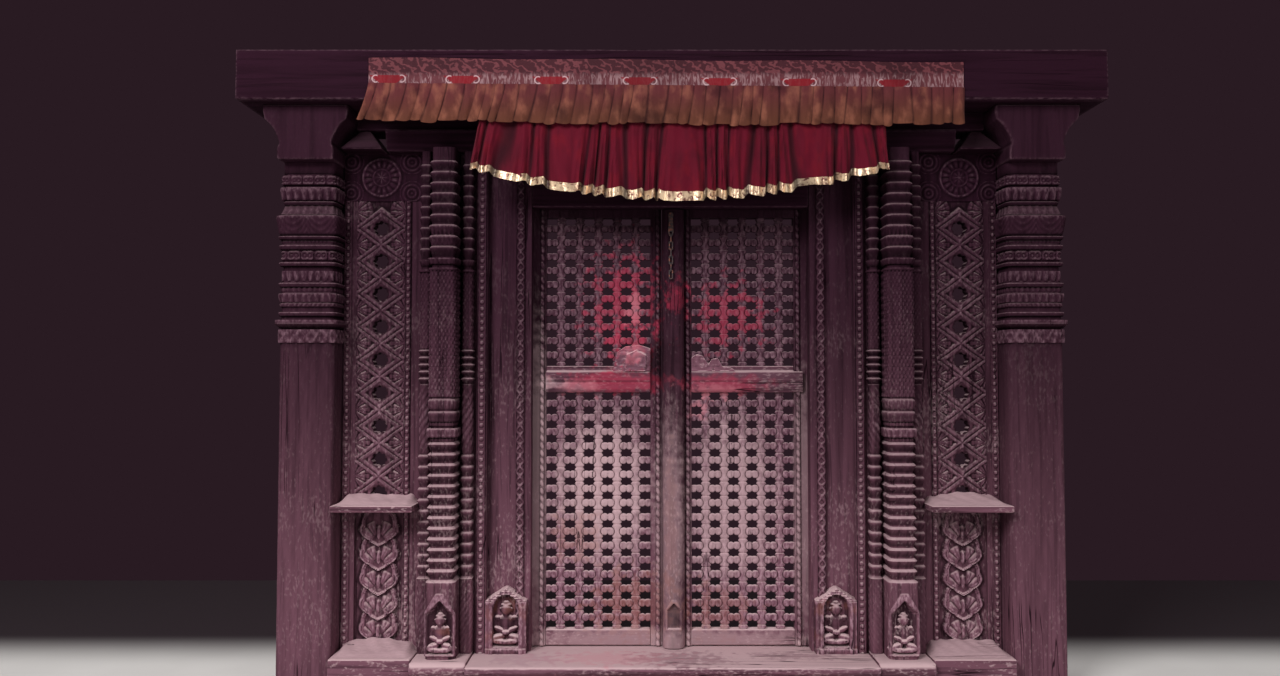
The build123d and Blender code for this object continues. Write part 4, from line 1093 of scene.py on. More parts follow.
def leaf_stains():
    """Powder, soot, dust and painted shade on the leaves: colour, place, size, amount and
    raggedness.
    """
    c = colours()
    return (
        (c.dust, (-0.24, 0.0, 0.66), (0.24, 0.3, 0.36), 0.7, 0.25),
        (c.dust, (0.22, 0.0, 0.62), (0.24, 0.3, 0.4), 0.5, 0.3),
        (c.dust, (0.0, 0.0, 0.5), (0.075, 0.3, 0.62), 0.62, 0.3),
        (c.brown, (0.0, 0.0, 0.52), (0.03, 0.3, 0.4), 0.3, 0.5),
        (c.dust, (-0.48, 0.0, 0.7), (0.06, 0.3, 0.75), 0.6, 0.3),
        (c.dust, (0.48, 0.0, 0.6), (0.06, 0.3, 0.65), 0.45, 0.3),
        (c.dust, (0.0, 0.0, 0.13), (0.8, 0.3, 0.07), 0.9, 0.35),
        (c.brown, (-0.12, 0.0, 0.26), (0.24, 0.3, 0.16), 0.4, 0.7),
        (c.brown, (0.16, 0.0, 0.24), (0.18, 0.3, 0.12), 0.3, 0.7),
        (c.brown, (-0.33, 0.0, 0.5), (0.12, 0.3, 0.12), 0.3, 0.6),
        (c.powder, (-0.17, 0.0, 1.33), (0.16, 0.3, 0.23), 0.46, 0.9),
        (c.powder, (-0.14, 0.0, 1.2), (0.11, 0.3, 0.11), 0.42, 0.9),
        (c.powder, (-0.2, 0.0, 1.05), (0.27, 0.3, 0.06), 0.85, 0.5),
        (c.pink, (-0.13, 0.0, 1.31), (0.05, 0.3, 0.09), 0.35, 0.8),
        (c.pink, (-0.34, 0.0, 1.035), (0.12, 0.3, 0.035), 0.6, 0.4),
        (c.dust, (-0.42, 0.0, 1.045), (0.08, 0.3, 0.03), 0.6, 0.6),
        (c.powder, (0.2, 0.0, 1.29), (0.16, 0.3, 0.15), 0.4, 0.9),
        (c.powder, (0.2, 0.0, 1.04), (0.22, 0.3, 0.05), 0.75, 0.4),
        (c.pink, (0.16, 0.0, 1.02), (0.13, 0.3, 0.04), 0.55, 0.6),
        (c.powder, (0.03, 0.0, 1.355), (0.05, 0.3, 0.08), 0.5, 0.9),
        (c.pink, (0.1, 0.0, 0.955), (0.05, 0.3, 0.05), 0.45, 0.7),
        (c.pink, (-0.13, 0.0, 1.15), (0.06, 0.3, 0.05), 0.5, 0.4),
        (c.soot_and_shade, (-0.02, 0.0, 1.13), (0.085, 0.3, 0.12), 0.95, 0.3),
        (c.soot_and_shade, (0.03, 0.0, 1.52), (0.09, 0.3, 0.1), 0.55, 0.5),
        # A broad dark band across the tops of the leaves: painted shade under the door head.
        (c.soot_and_shade, (0.0, 0.0, 1.7), (0.75, 0.3, 0.17), 0.75, 0.2),
    )


def sill_stains():
    """Trodden dirt and powder on the threshold: colour, place, size, amount and raggedness."""
    c = colours()
    return (
        (c.faded, (0.03, -0.16, 0.11), (0.2, 0.12, 0.06), 0.9, 0.8),
        (c.pink, (-0.22, -0.15, 0.11), (0.3, 0.1, 0.06), 0.6, 0.9),
        (c.faded, (0.42, -0.12, 0.11), (0.2, 0.06, 0.06), 0.7, 0.9),
        (c.worn, (-0.5, -0.16, 0.11), (0.16, 0.1, 0.06), 0.6, 0.9),
    )


def finish(name, carved=True):
    """A timber finish by name, made once."""
    label = name + ("_carved" if carved else "_plain")
    ready = bpy.data.materials.get(label)
    if ready:
        return ready
    settings = dict(FINISHES[name])
    if name in ("leaf_timber", "rail_timber", "lattice_timber", "foot_timber"):
        settings["stains"] = leaf_stains()
    if name == "sill_timber":
        settings["stains"] = sill_stains()
    return timber(label, carved=carved, **settings)


def iron():
    """Old iron, dark with rust in its hollows."""
    ready = bpy.data.materials.get("old_iron")
    if ready:
        return ready
    c = colours()
    s = Shader("old_iron", roughness=0.55, metallic=0.75)
    rust = s.ramp(s.noise(90.0, 5.0), 0.45, 0.62)
    s.paint(s.mix(s.times(rust, 0.7), c.iron, c.brown))
    s.bump(s.noise(240.0, 4.0), 0.4, 0.0008)
    return s.material


PATCHES_X = (-0.96, -0.71, -0.41, -0.11, 0.16, 0.43, 0.75)  # red patches of the brocade, in metres
CURL_R = 0.012  # radius of the brocade's curls, in metres


def weave(s, pitch):
    """Threads over and under one another, in the plane of a hanging cloth."""
    over = s.math("SINE", s.times(s.axes.outputs[0], 2 * math.pi / pitch))
    under = s.math("SINE", s.times(s.axes.outputs[2], 2 * math.pi / pitch))
    return s.times(over, under)


def brocade_cloth():
    """Woven band: pale running scrolls on a mauve ground, with red patches along its foot."""
    c = colours()
    s = Shader("brocade_cloth", roughness=0.62, specular=0.12)
    low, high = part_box("valance_band")
    rise = s.ramp(s.axes.outputs[2], low[2], high[2], smooth=False)
    swirl = s.add("ShaderNodeTexWave", wave_type="BANDS", bands_direction="DIAGONAL")
    s.join(s.stretch(1.0, 0.01, 1.3), swirl.inputs["Vector"])
    for name, value in (("Scale", 13.0), ("Distortion", 9.0), ("Detail", 2.0),
                        ("Detail Scale", 2.6)):
        swirl.inputs[name].default_value = value
    line = s.ramp(swirl.outputs["Fac"], 0.5, 0.85)
    upper = s.ramp(rise, 0.45, 0.6)
    base = s.mix(s.times(line, s.times(upper, 0.6)), c.brocade, c.scroll)
    brushed = s.ramp(s.noise(1.0, 6.0, s.stretch(90.0, 1.0, 22.0), 1.5), 0.44, 0.62)
    foot = s.fade(rise, 0.4, 0.62)
    base = s.mix(s.times(foot, 0.45), base, c.scroll)
    base = s.mix(s.times(s.times(brushed, foot), 0.3), base, c.dust)
    for i, x in enumerate(PATCHES_X):
        top_z = low[2] + 0.042 - 0.0075 * (i - 3) / 3
        down = s.math("SUBTRACT", top_z, s.axes.outputs[2])
        aside = s.math("ABSOLUTE", s.math("SUBTRACT", s.axes.outputs[0], x))
        reach = s.math("ADD", aside, s.times(down, 1.3))
        patch = s.times(s.fade(reach, 0.062, 0.066), s.ramp(down, -0.001, 0.001))
        base = s.mix(s.times(patch, 0.92), base, c.patch)
        for shift, turned in ((-0.042, 1), (0.046, -1)):
            base = curl_mark(s, base, x + shift, low[1], top_z - CURL_R, turned)
    dirt = s.ramp(s.noise(5.0, 5.0), 0.45, 0.75)
    s.paint(s.mix(s.times(dirt, 0.4), base, c.heart_and_shade))
    s.bump(s.math("ADD", weave(s, 0.0022), line), 0.35, 0.0008)
    return s.material


def curl_mark(s, base, x, y, z, turned):
    """A pale woven curl, open on the side that turned gives, over a base colour."""
    curl = s.add("ShaderNodeVectorMath", operation="DISTANCE")
    s.join(s.place, curl.inputs[0])
    curl.inputs[1].default_value = (x, y, z)
    ring = s.math("ABSOLUTE", s.math("SUBTRACT", curl.outputs["Value"], CURL_R))
    mark = s.fade(ring, 0.001, 0.003)
    edge_x = x + 0.004 * turned
    open_side = s.ramp(s.axes.outputs[0], edge_x + 0.004 * turned, edge_x)
    return s.mix(s.times(s.times(mark, open_side), 0.65), base, colours().dust)


def plain_cloth(name, upper, lower, node, roughness, sheen, pitch, rubbed, mottle):
    """Plain cloth that changes colour from a node's top to its foot, worn and dirty in places, with
    painted shade in the valleys of its folds.
    """
    c = colours()
    low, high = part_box(node)
    s = Shader(name, roughness=roughness, specular=0.06)
    s.skin.inputs["Sheen Weight"].default_value = sheen
    s.skin.inputs["Sheen Roughness"].default_value = 0.5
    base = s.mix(s.ramp(s.axes.outputs[2], low[2], high[2]), lower, upper)
    streak = s.ramp(s.noise(1.0, 5.0, s.stretch(60.0, 60.0, 5.0), 0.3), 0.4, 0.7)
    base = s.mix(s.times(streak, 0.18), base, c.heart_and_shade)
    faded = s.ramp(s.noise(1.0, 8.0, s.stretch(26.0, 26.0, 14.0)), 0.45, 0.72)
    base = s.mix(s.times(faded, mottle), base, rubbed)
    soiled = s.ramp(s.noise(8.0, 8.0), 0.5, 0.7)
    base = s.mix(s.times(soiled, mottle), base, c.heart_and_shade)
    # Painted shade in the valleys of the folds and pleats.
    depth = s.attribute("relief")
    valley = s.math("SUBTRACT", 0.75, s.ramp(depth, 0.0, 0.75), clamp=True)
    s.paint(s.mix(valley, base, c.heart_and_shade))
    s.bump(weave(s, pitch), 0.3, 0.0006)
    return s.material


def foil():
    """Foil trim: bright creased gold with dull worn patches and painted shade in its folds."""
    c = colours()
    s = Shader("foil_trim", roughness=0.38, metallic=0.55)
    crease = s.noise(60.0, 4.0, None, 1.2)
    worn = s.ramp(s.noise(18.0, 5.0), 0.42, 0.58)
    base = s.mix(s.ramp(crease, 0.3, 0.5), c.skirt, c.gold)
    base = s.mix(s.times(worn, 0.3), base, c.skirt)
    # Painted shade in the valleys of the folds.
    valley = s.fade(s.attribute("relief"), 0.05, 0.55)
    s.paint(s.mix(s.times(valley, 0.85), base, c.heart_and_shade))
    s.bump(crease, 0.8, 0.002)
    return s.material


# Cloth sheets

PLEATS = 46
FOLDS = 21


def cloth_sheet(grid, thick, relief):
    """A sheet of cloth of a thickness, from rows of points on its front: points, faces, relief."""
    rows, columns = grid.shape[:2]
    normal = np.cross(np.gradient(grid, axis=1), np.gradient(grid, axis=0))
    normal = normal / np.linalg.norm(normal, axis=-1, keepdims=True)
    normal = np.where(normal[..., 1:2] > 0, -normal, normal)
    back = (grid - normal * thick).reshape(-1, 3)
    quads = grid_quads(rows, columns)
    count = rows * columns
    rim = np.concatenate([np.arange(columns), np.arange(1, rows) * columns + columns - 1,
                          np.arange(count - 2, count - columns - 1, -1),
                          np.arange(rows - 2, 0, -1) * columns])
    following = np.roll(rim, -1)
    walls = np.stack([rim, rim + count, following + count, following], axis=-1)
    faces = np.concatenate([quads, quads[:, ::-1] + count, walls])
    return (np.concatenate([grid.reshape(-1, 3), back]), faces,
            np.tile(relief.reshape(-1), 2))


def band_points(columns, rows):
    """Front of the brocade band: nailed along its top, loose and slightly wavy at its foot."""
    low, high = box_mm("valance_band")
    u, v = np.meshgrid(np.linspace(0, 1, columns), np.linspace(0, 1, rows))
    x = low[0] + (high[0] - low[0]) * u
    z = low[2] + (high[2] - low[2]) * v + 2.0 * np.sin(u * 19) * v + 6 - 15 * u
    y = low[1] - 1.0 - 1.6 * np.abs(np.sin(u * 31 + v * 1.2)) * (1 - 0.6 * v)
    return np.stack([x, y, z], axis=-1), np.full(u.shape, 0.7)


def frill_points(columns, rows):
    """Front of the pleated frill: round pleats between sewn seams, flaring to the left."""
    low, high = box_mm("valance_frill")
    depth = sizes().pleat_depth / MM
    u, v = np.meshgrid(np.linspace(0, 1, columns), np.linspace(0, 1, rows))
    left = low[0] + 38 - 37 * (1 - v) ** 1.3
    x = left + (high[0] - 3 - left) * u
    phase = u * PLEATS + 0.3 * np.sin(u * 31) + 0.22 * np.sin(u * 57 + 1) \
        + 0.14 * (1 - v) * np.sin(u * 143)
    index = np.floor(phase)
    uneven = np.sin(index * 2.7) * 0.5 + np.sin(index * 1.3 + 1) * 0.5
    roll = np.abs(np.sin(math.pi * phase)) ** 0.55
    open_out = 0.5 + 0.5 * (1 - v)
    crush = 0.12 * np.sin(phase * 5.1 + v * 4) + 0.1 * np.sin(phase * 2.3 - v * 7)
    y = high[1] - 2.5 - depth * open_out * np.clip(roll * (0.72 + 0.28 * uneven) + crush, 0, 1)
    hem = ((6.0 + 4.0 * uneven) * roll + 3.0 * np.sin(index * 4.1)) * (1 - v)
    z = low[2] + 14 + (high[2] - low[2] - 14) * v - hem + 6 - 15 * u \
        - (9 * np.sin(math.pi * u) + 3 * np.sin(u * 23)) * (1 - v)
    return np.stack([x, y, z], axis=-1), roll


def skirt_points(columns, rows, v_range=(0, 1), lift=0.0):
    """Front of the gathered skirt, or of a strip of it that lies on top of it: uneven folds that
    deepen to a curved hem."""
    _, high = box_mm("valance_skirt")
    depth = sizes().fold_depth / MM
    u, v = np.meshgrid(np.linspace(0, 1, columns), np.linspace(*v_range, rows))
    side = 2 * u - 1
    top, front = high[2], -233.5
    drop, shorter_at_sides = 336, 107
    foot = top - (drop - shorter_at_sides * side ** 2)
    z = foot + (top - foot) * v
    x0, x1 = -686 + 44 * v, 733 - 11 * v
    x = x0 + (x1 - x0) * u
    wave = FOLDS * u + 0.5 * np.sin(u * 19) + 0.35 * np.sin(u * 43) + 0.12 * np.sin(v * 3 + u * 31)
    phase = wave % 1.0
    lean = np.where(phase < 0.36, phase / 0.36, (1 - phase) / 0.64)
    fold = np.sin(math.pi / 2 * lean) ** 1.1
    fine = 0.16 * np.sin(2 * math.pi * (wave * 2.37 + 0.9 * v)) + 0.08 * np.sin(wave * 31 + v * 5)
    grow = 0.3 + 0.7 * (1 - v) ** 0.8
    y = front - depth * grow * np.clip(fold + fine, -0.1, 1.15) - lift
    step = np.where(phase < 0.84, phase / 0.84, (1 - phase) / 0.16) - 0.5
    hem = (9.0 * (fold - 0.5) + 15.0 * step * np.sign(side + 0.1)) * (1 - v) ** 1.3
    return np.stack([x, y, z - hem], axis=-1), fold


# Operators: one for each piece or group of like pieces

class DoorStage(bpy.types.Operator):
    """Adds the pale floor, dark behind the door as painted shade, the soft lights and the camera"""
    bl_idname = "temple_door.stage"
    bl_label = "Stage"

    def execute(self, context):
        scene = context.scene
        scene.view_settings.view_transform = "Standard"
        half, near, far = 4.5, -6, 1.7
        mesh = bpy.data.meshes.new("floor")
        mesh.from_pydata([(-half, near, 0), (half, near, 0), (half, far, 0), (-half, far, 0)], [],
                         [(0, 1, 2, 3)])
        floor = add_object("floor", mesh)
        s = Shader("pale_floor", roughness=0.9)
        shade = s.mix(s.ramp(s.noise(2.0), 0.4, 0.6), colours().floor, srgb(202, 198, 195))
        # Behind the door the floor turns to the backdrop's colour: painted shade of the unlit space
        # behind the lattice.
        s.paint(s.mix(s.ramp(s.axes.outputs[1], 0.12, 0.6), shade, colours().backdrop_shade))
        mesh.materials.append(s.material)
        scene.world = self.world()
        self.lamp("key", (-2.4, -4.0, 3.9), (0, 0, 0.9), size=2.0, power=235)
        self.lamp("fill", (3.4, -3.6, 2.2), (0, 0, 0.9), size=3.0, power=40)
        rim = self.lamp("rim", (0.5, 4.5, 3.4), (0, 0, 1.0), size=3.0, power=80)
        rim.visible_glossy = False
        lens = bpy.data.cameras.new("camera")
        lens.sensor_width = 36
        lens.lens = 28.125
        lens.clip_start = 0.05
        camera = add_object("camera", lens)
        camera.location = (-0.108, -3.6, 1.071)
        camera.rotation_euler = (math.radians(92.2), 0, 0)
        scene.camera = camera
        return {"FINISHED"}

    @staticmethod
    def world():
        """Soft grey light all round, with the backdrop's dark colour, painted shade of the unlit
        space behind the door, wherever it is seen.
        """
        world = bpy.data.worlds.new("studio")
        world.use_nodes = True
        tree = world.node_tree
        sky = tree.nodes["Background"]
        rays = tree.nodes.new("ShaderNodeLightPath")
        seen = tree.nodes.new("ShaderNodeMath")
        seen.operation = "MAXIMUM"
        through = tree.nodes.new("ShaderNodeMath")
        through.operation = "MAXIMUM"
        tree.links.new(rays.outputs["Is Camera Ray"], seen.inputs[0])
        tree.links.new(rays.outputs["Is Glossy Ray"], through.inputs[0])
        tree.links.new(rays.outputs["Is Transmission Ray"], through.inputs[1])
        tree.links.new(through.outputs[0], seen.inputs[1])
        tone = tree.nodes.new("ShaderNodeMix")
        tone.data_type = "RGBA"
        sky_grey = (0.4, 0.394, 0.396, 1)
        tone.inputs[MIX_A].default_value = sky_grey
        tone.inputs[MIX_B].default_value = (*colours().backdrop_shade, 1)
        tree.links.new(seen.outputs[0], tone.inputs["Factor"])
        tree.links.new(tone.outputs[MIX_RESULT], sky.inputs["Color"])
        return world

    @staticmethod
    def lamp(name, place, target, size, power):
        """A large soft lamp that looks at a point."""
        data = bpy.data.lights.new(name, "AREA")
        data.size = size
        data.energy = power
        lamp = add_object(name, data)
        lamp.visible_camera = False
        lamp.location = place
        lamp.rotation_euler = (Vector(target) - Vector(place)).to_track_quat("-Z", "Y").to_euler()
        return lamp


class DoorBeams(bpy.types.Operator):
    """Wears the edges of the beam, boards, lintel and capitals"""
    bl_idname = "temple_door.beams"
    bl_label = "Beams and boards"

    def execute(self, context):
        wood = finish("beam_timber")
        worn_block("head_beam", wood, voxel=10, keep=0.12)
        for node in ("lintel", "frieze_board", "door_head"):
            worn_block(node, wood, voxel=6, keep=0.15)
        for side in SIDES:
            worn_block(side + "_lintel_cap", wood, voxel=5, keep=0.3)
            worn_block(side + "_capital", finish("pillar_timber"), voxel=6,
                       keep=0.25)
        dress_node("pivot_rail", finish("beam_timber", carved=False))
        return {"FINISHED"}


class DoorSill(bpy.types.Operator):
    """Wears the threshold, its step, the plinths, ledges and shelves"""
    bl_idname = "temple_door.sill"
    bl_label = "Sill and ledges"

    def execute(self, context):
        wood = finish("sill_timber")
        worn_block("threshold", wood, voxel=6, keep=0.15, rounds=8, rough=1.6)
        worn_block("threshold_step", wood, voxel=6, keep=0.3, rounds=8, rough=1.6)
        for side in SIDES:
            for node, voxel, rounds, rough in (("_plinth", 5, 10, 2.0), ("_ledge", 6, 6, 1.2),
                                               ("_shelf", 4, 4, 1.0)):
                worn_block(side + node, wood, voxel, 0.3, rounds, rough)
        return {"FINISHED"}


class DoorDust(bpy.types.Operator):
    """Heaps dust on the shelves and ledges"""
    bl_idname = "temple_door.dust"
    bl_label = "Dust on the ledges"

    def execute(self, context):
        dust = finish("settled_dust")
        for side, sign in SIDES.items():
            for node, tall, seed in (("_shelf", 34, 1.0), ("_ledge", 40, 2.2)):
                low, high = box_mm(side + node)
                heap = mound(low[0] + 4, high[0] - 4, low[1] + 8, PANEL_FRONT, high[2] - 0.5, tall,
                             seed + sign)
                make_piece(side + node + "_dust", heap, dust, "frame")
        return {"FINISHED"}


class DoorPillars(bpy.types.Operator):
    """Carves the bands round the pillars"""
    bl_idname = "temple_door.pillars"
    bl_label = "Pillars"

    def execute(self, context):
        low, high = box_mm("right_pillar")
        inner_x, front_y, half = 1160, -160, 97.5
        taller = 1.055
        carved = [(b[0] * taller, *b[1:]) for b in pillar_bands(half)]
        shaft = high[2] - low[2] - sum(b[0] for b in carved)
        bands = [band(shaft, half - 0.5)] + carved
        levels = column_levels(low[2], bands, sizes().carve_step * 1.15 / MM)
        part = wrapped_column(inner_x + half, front_y + half, high[1], levels, turns=86, power=9)
        for side in SIDES:
            piece = make_piece(side + "_carved_pillar", sided(part, side),
                               finish("pillar_timber"), "frame")
            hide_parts(side + "_pillar")
        return {"FINISHED"}


class DoorColonettes(bpy.types.Operator):
    """Turns the ringed colonettes with their carved shafts and niches"""
    bl_idname = "temple_door.colonettes"
    bl_label = "Colonettes"

    def execute(self, context):
        low, high = box_mm("right_colonette")
        tall = high[2] - low[2]
        cx = (low[0] + high[0]) / 2
        spine_front, column_back = -70, -64
        main_y, lobe_y, lobe_out = -142, -100, 74
        step = sizes().carve_step / MM
        spine = slab(low[0], high[0], spine_front, high[1], low[2], high[2])
        levels = column_levels(low[2], main_column_bands(tall), step)
        parts = [spine, wrapped_column(cx, main_y, column_back, levels, turns=56, power=5)]
        slim = column_levels(low[2], lobe_bands(tall), step * 1.25)
        for dx in (-lobe_out, lobe_out):
            parts.append(wrapped_column(cx + dx, lobe_y, column_back, slim, turns=18, power=3.2))
        part = join_parts(parts)
        for side in SIDES:
            piece = make_piece(side + "_carved_colonette", sided(part, side),
                               finish("frame_timber"), "frame")
            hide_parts(side + "_colonette")
        return {"FINISHED"}


class DoorFigures(bpy.types.Operator):
    """Seats a calm figure in each niche"""
    bl_idname = "temple_door.figures"
    bl_label = "Niche figures"

    def execute(self, context):
        wood = finish("niche_timber")
        for side, sign in SIDES.items():
            for name, x, y, z, tall, broad in (("base", sign * 785, -179, 136, 142, 1.08),
                                               ("jamb", sign * 575, -78, 138, 158, 1.12)):
                lump = smooth_lump(name, figure_parts(x, y, z, tall, broad), voxel=1.9)
                make_piece(side + "_" + name + "_figure", lump, wood, "frame")
        return {"FINISHED"}


class DoorJambs(bpy.types.Operator):
    """Carves the bead and twist bands and the niche blocks of the jambs"""
    bl_idname = "temple_door.jambs"
    bl_label = "Jambs"

    def execute(self, context):
        step = sizes().carve_step / MM
        pitch = sizes().bead_pitch / MM
        low, high = box_mm("right_jamb")
        z0, z1 = low[2] + 2, high[2] - 2
        twisted = strip(530, 28, z0, z1, step, front=-69.5, back=-62, pattern=lambda x, z: (
            twist(x, z, 28, pitch * 1.5, 6) + wear(x, z, 0.5)))
        beaded = strip(663, 30, z0, z1, step, front=-91.5, back=-84, pattern=lambda x, z: (
            beads(x, z, 18, pitch, 7, fill=0.32) + wear(x, z, 0.3)))
        low, high = box_mm("right_jamb_niche")
        block = relief_face(low, high, step, self.niche(low, high), front=-94, back=-50)
        for side in SIDES:
            bands = join_parts([sided(twisted, side), sided(beaded, side)])
            make_piece(side + "_jamb_bands", bands, finish("frame_timber"), "frame")
            dress_node(side + "_jamb", finish("frame_timber", carved=False))
            piece = make_piece(side + "_niche_block", sided(block, side), finish("niche_timber"),
                               "frame")
            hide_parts(side + "_jamb_niche")
        return {"FINISHED"}

    @staticmethod
    def niche(low, high):
        """Height of a gabled block with a border round an arched recess."""
        cx, tall, gable = (low[0] + high[0]) / 2, high[2] - low[2], 46
        sill, spring, top, half = 22, 150, 202, 44

        def height(x, z):
            v = z - low[2]
            slope = np.clip((high[2] - z) / gable, 0, 1)
            outer = 73 * slope
            arch = np.sqrt(np.clip(1 - ((v - spring) / (top - spring)) ** 2, 0, 1))
            inner = half * np.where(v > spring, arch, 1.0)
            ax = np.abs(x - cx)
            recess = smooth_step(inner - ax, -1, 2) * (v > sill) * (v < top)
            edge = 4 * smooth_step(ax - inner, 0, 3) * smooth_step(inner + 16 - ax, 0, 3)
            out = smooth_step(ax - outer, -1, 3)
            base = 4 * (v < 18)
            line = 1.5 * np.cos(np.clip(v - tall + 60, 0, 60) * 0.8) * (v > tall - 50)
            return (base + edge + line) * (1 - recess) * (1 - out) - 26 * recess - 43 * out \
                + wear(x, z, 0.8)
        return height


class DoorBays(bpy.types.Operator):
    """Carves the star panels, foliage panels, medallion boards and bead strips of the bays"""
    bl_idname = "temple_door.bays"
    bl_label = "Side bays"

    def execute(self, context):
        step = sizes().carve_step / MM
        pitch = sizes().bead_pitch / MM
        wood = finish("panel_timber")
        low, high = box_mm("right_lozenge_panel")
        cx, half = (low[0] + high[0]) / 2, (high[0] - low[0]) / 2
        first = 29
        stars = low[2] + first + STAR_PITCH * np.arange(STARS)
        star = relief_face(low, high, step, lozenge_height(cx, stars, STAR_PITCH, half), front=-54,
                           back=-20, inside=star_hole(cx, stars, sizes().star_r / MM))
        low, high = box_mm("right_foliage_panel")
        leafy = relief_face(low, high, step, foliage_height(cx, high[2], tier=86.0, count=5),
                            front=-42, back=-20)
        low, high = box_mm("right_medallion_board")
        boss = relief_face(low, high, step, medallion_height(cx=1028, cz=1778),
                           front=PANEL_FRONT, back=high[1])
        low, high = box_mm("right_bay_stiles")
        z0, z1 = low[2] + 2, high[2] - 2
        rows = [strip(cx, width, z0, z1, step, front=-65.5, back=PANEL_FRONT,
                      pattern=self.row(bead, pitch))
                for cx, width, bead in ((929.5, 20, 14), (1143, 26, 15))]
        for side in SIDES:
            for name, part, node, skin in (
                    ("star_panel", star, "_lozenge_panel", wood),
                    ("leaf_panel", leafy, "_foliage_panel", wood),
                    ("round_panel", boss, "_medallion_board", finish("shaded_timber"))):
                piece = make_piece(side + "_" + name, sided(part, side), skin, "frame")
                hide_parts(side + node)
            beading = join_parts([sided(row, side) for row in rows])
            make_piece(side + "_bay_beads", beading, wood, "frame")
            dress_node(side + "_bay_stiles", finish("panel_timber", carved=False))
        return {"FINISHED"}

    @staticmethod
    def row(width, pitch):
        """Beads of one strip, a little worn."""
        return lambda x, z: beads(x, z, width, pitch, 7, fill=0.3) + wear(x, z, 0.3)


class DoorLattice(bpy.types.Operator):
    """Builds the lattice of both leaves"""
    bl_idname = "temple_door.lattice"
    bl_label = "Lattice"

    def execute(self, context):
        for side in SIDES:
            piece = make_piece(side + "_lattice", join_parts(lattice_parts(side)),
                               finish("lattice_timber"), side + "_leaf")
            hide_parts(side + "_uprights", side + "_crossbars")
        return {"FINISHED"}


class DoorLeafTrim(bpy.types.Operator):
    """Carves the strips, rails, crests and centre post of the leaves"""
    bl_idname = "temple_door.leaf_trim"
    bl_label = "Leaf trim"

    def execute(self, context):
        step = sizes().carve_step / MM
        pitch = sizes().leaf_bead / MM
        wood = finish("leaf_timber")
        foot, head = 116, 1685
        for name, x, side in (("left_hanging_beads", -459, "left"),
                              ("left_meeting_beads", -44, "left"),
                              ("right_meeting_beads", 63, "right"),
                              ("right_hanging_beads", 459, "right")):
            beading = strip(x, 17, foot, head, step, front=-4.5, back=1, pattern=self.row(pitch))
            make_piece(name, beading, wood, side + "_leaf")
        plain = finish("leaf_timber", carved=False)
        rail = finish("rail_timber")
        for side in SIDES:
            leaf = side + "_leaf"
            for node in ("_hanging_stile", "_meeting_stile", "_top_rail"):
                dress_node(side + node, plain)
            worn_block(side + "_bottom_rail", finish("foot_timber"), voxel=4,
                       keep=0.3, rounds=5, rough=1.0, body=leaf)
            worn_block(side + "_mid_rail", rail, voxel=4, keep=0.4, rounds=6,
                       rough=2.0, body=leaf)
            worn_block(side + "_crest", finish("foot_timber"), voxel=2.6, keep=0.6,
                       rounds=5, rough=3.0, body=leaf, carve=self.scrolled(side + "_crest"))
        self.post()
        return {"FINISHED"}

    @staticmethod
    def scrolled(node):
        """Cuts of a worn carved crest: two scrolls and a leaf between them."""
        low, high = box_mm(node)
        cx, half, foot = (low[0] + high[0]) / 2, (high[0] - low[0]) / 2, low[2]

        def carve(x, z):
            dx, dz = np.abs(x - cx) - half * 0.45, z - foot - 34
            r, turn = np.hypot(dx, dz), np.arctan2(dz, dx)
            coil = 0.5 - 0.5 * np.cos(2 * math.pi * r / 24 - turn)
            middle = np.exp(-((x - cx) / 6) ** 2)
            return 3.2 * coil * (r < 42) + 3 * middle + 1.2 * (r >= 42)
        return carve

    @staticmethod
    def row(pitch):
        """A rope of slanted beads."""
        return lambda x, z: beads(x, z, 16, pitch, 5, slant=0.6) + wear(x, z, 0.4)

    @staticmethod
    def post():
        """The rounded centre post with its niche."""
        low, high = box_mm("centre_post")
        half, cx = (high[0] - low[0]) / 2, (high[0] + low[0]) / 2
        block, niche = 60, 112
        pattern = niche_pattern(width=44, low=8, tall=90, rise=24, deep=10)
        bands = [band(block, half), band(niche, half, pattern=pattern),
                 band(high[2] - low[2] - (block + niche), half)]
        levels = column_levels(low[2], bands, step=3.5)
        part = wrapped_column(cx, low[1] + half, 0, levels, turns=40, power=2.6)
        piece = make_piece("carved_post", part, finish("leaf_timber"), "right_leaf")
        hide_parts("centre_post")


class DoorLatch(bpy.types.Operator):
    """Finishes the latch in old iron"""
    bl_idname = "temple_door.latch"
    bl_label = "Latch"

    def execute(self, context):
        for node in ("latch_stud", "latch_hasp", "latch_chain"):
            dress_node(node, iron())
        return {"FINISHED"}


class DoorBand(bpy.types.Operator):
    """Nails the brocade band to the beam"""
    bl_idname = "temple_door.band"
    bl_label = "Brocade band"

    def execute(self, context):
        grid, relief = band_points(columns=260, rows=14)
        piece = make_piece("brocade_band", cloth_sheet(grid, 1.6, relief), brocade_cloth(),
                           "frame")
        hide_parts("valance_band")
        return {"FINISHED"}


class DoorFrill(bpy.types.Operator):
    """Sews the pleated frill under the band"""
    bl_idname = "temple_door.frill"
    bl_label = "Pleated frill"

    def execute(self, context):
        grid, roll = frill_points(columns=PLEATS * 13 + 1, rows=12)
        c = colours()
        cloth = plain_cloth("frill_cloth", c.frill, c.frill_hem, "valance_frill", roughness=0.8,
                            sheen=0.03, pitch=0.002, rubbed=c.brown, mottle=0.48)
        piece = make_piece("pleated_frill", cloth_sheet(grid, 1.5, roll), cloth, "frame")
        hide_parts("valance_frill")
        return {"FINISHED"}


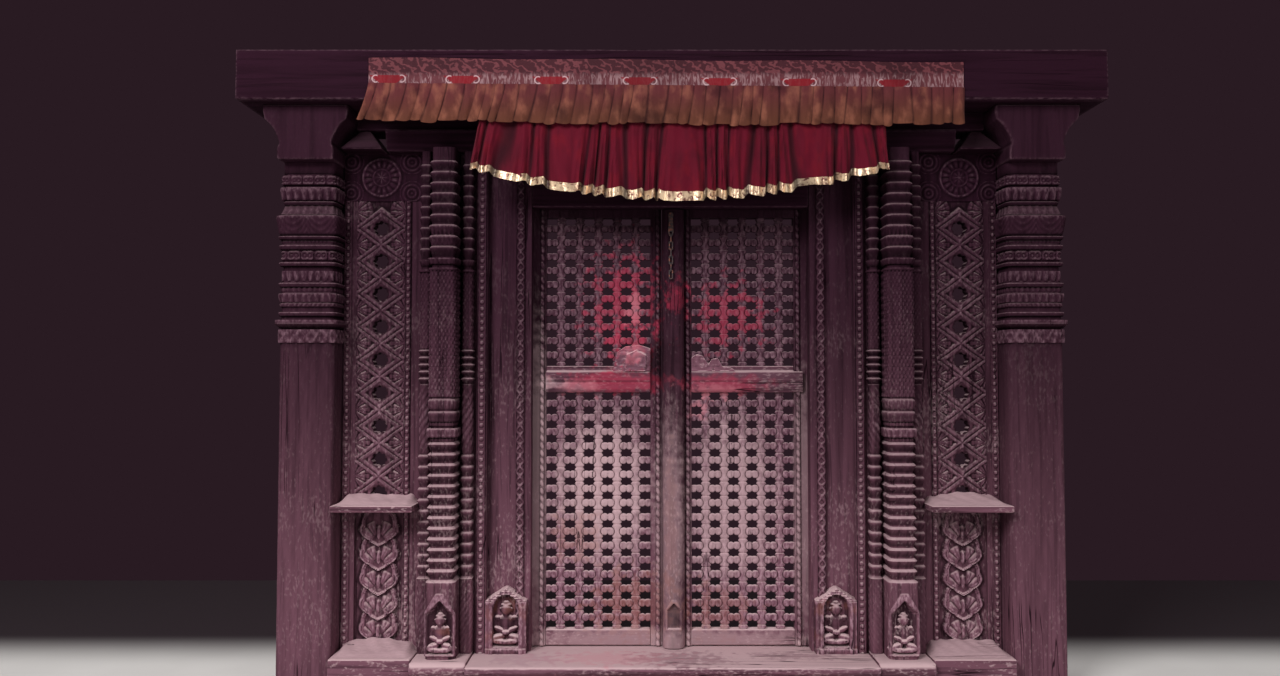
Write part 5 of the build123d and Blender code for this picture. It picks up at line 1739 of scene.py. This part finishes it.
class DoorSkirt(bpy.types.Operator):
    """Hangs the gathered red skirt and its foil trim"""
    bl_idname = "temple_door.skirt"
    bl_label = "Red skirt"

    def execute(self, context):
        columns = 360
        grid, fold = skirt_points(columns, rows=22)
        c = colours()
        cloth = plain_cloth("skirt_cloth", c.skirt, c.skirt, "valance_skirt", roughness=0.65,
                            sheen=0.05, pitch=0.0018, rubbed=c.patch, mottle=0.3)
        skirt = make_piece("red_skirt", cloth_sheet(grid, 1.4, fold), cloth, "frame")
        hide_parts("valance_skirt")
        edge, fold = skirt_points(columns, rows=4, v_range=(-0.004, 0.088), lift=1.8)
        hem = make_piece("foil_trim", cloth_sheet(edge, 1.0, fold), foil(), "frame")
        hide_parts("valance_trim")
        return {"FINISHED"}


PIECES = (DoorBeams, DoorSill, DoorDust, DoorPillars, DoorColonettes, DoorFigures, DoorJambs,
          DoorBays, DoorLattice, DoorLeafTrim, DoorLatch, DoorBand, DoorFrill, DoorSkirt, DoorStage)


class DoorPanel(bpy.types.Panel):
    """Lists the pieces of the door and what a user may change"""
    bl_idname = "VIEW3D_PT_temple_door"
    bl_label = "Temple Door"
    bl_space_type = "VIEW_3D"
    bl_region_type = "UI"
    bl_category = "Temple Door"

    def draw(self, context):
        for piece in PIECES:
            self.layout.operator(piece.bl_idname)
        for group in (context.scene.door_sizes, context.scene.door_colours):
            column = self.layout.column()
            for name in type(group).__annotations__:
                column.prop(group, name)


def register():
    """Makes the classes and their settings known to Blender."""
    for item in (DoorColours, DoorSizes, *PIECES, DoorPanel):
        bpy.utils.register_class(item)
    bpy.types.Scene.door_colours = bpy.props.PointerProperty(type=DoorColours)
    bpy.types.Scene.door_sizes = bpy.props.PointerProperty(type=DoorSizes)


def unregister():
    """Takes the classes and settings away again."""
    del bpy.types.Scene.door_sizes
    del bpy.types.Scene.door_colours
    for item in reversed((DoorColours, DoorSizes, *PIECES, DoorPanel)):
        bpy.utils.unregister_class(item)


def main():
    """Builds the whole door."""
    register()
    for piece in PIECES:
        getattr(bpy.ops.temple_door, piece.bl_idname.split(".")[1])()


if __name__ == "__main__":
    main()
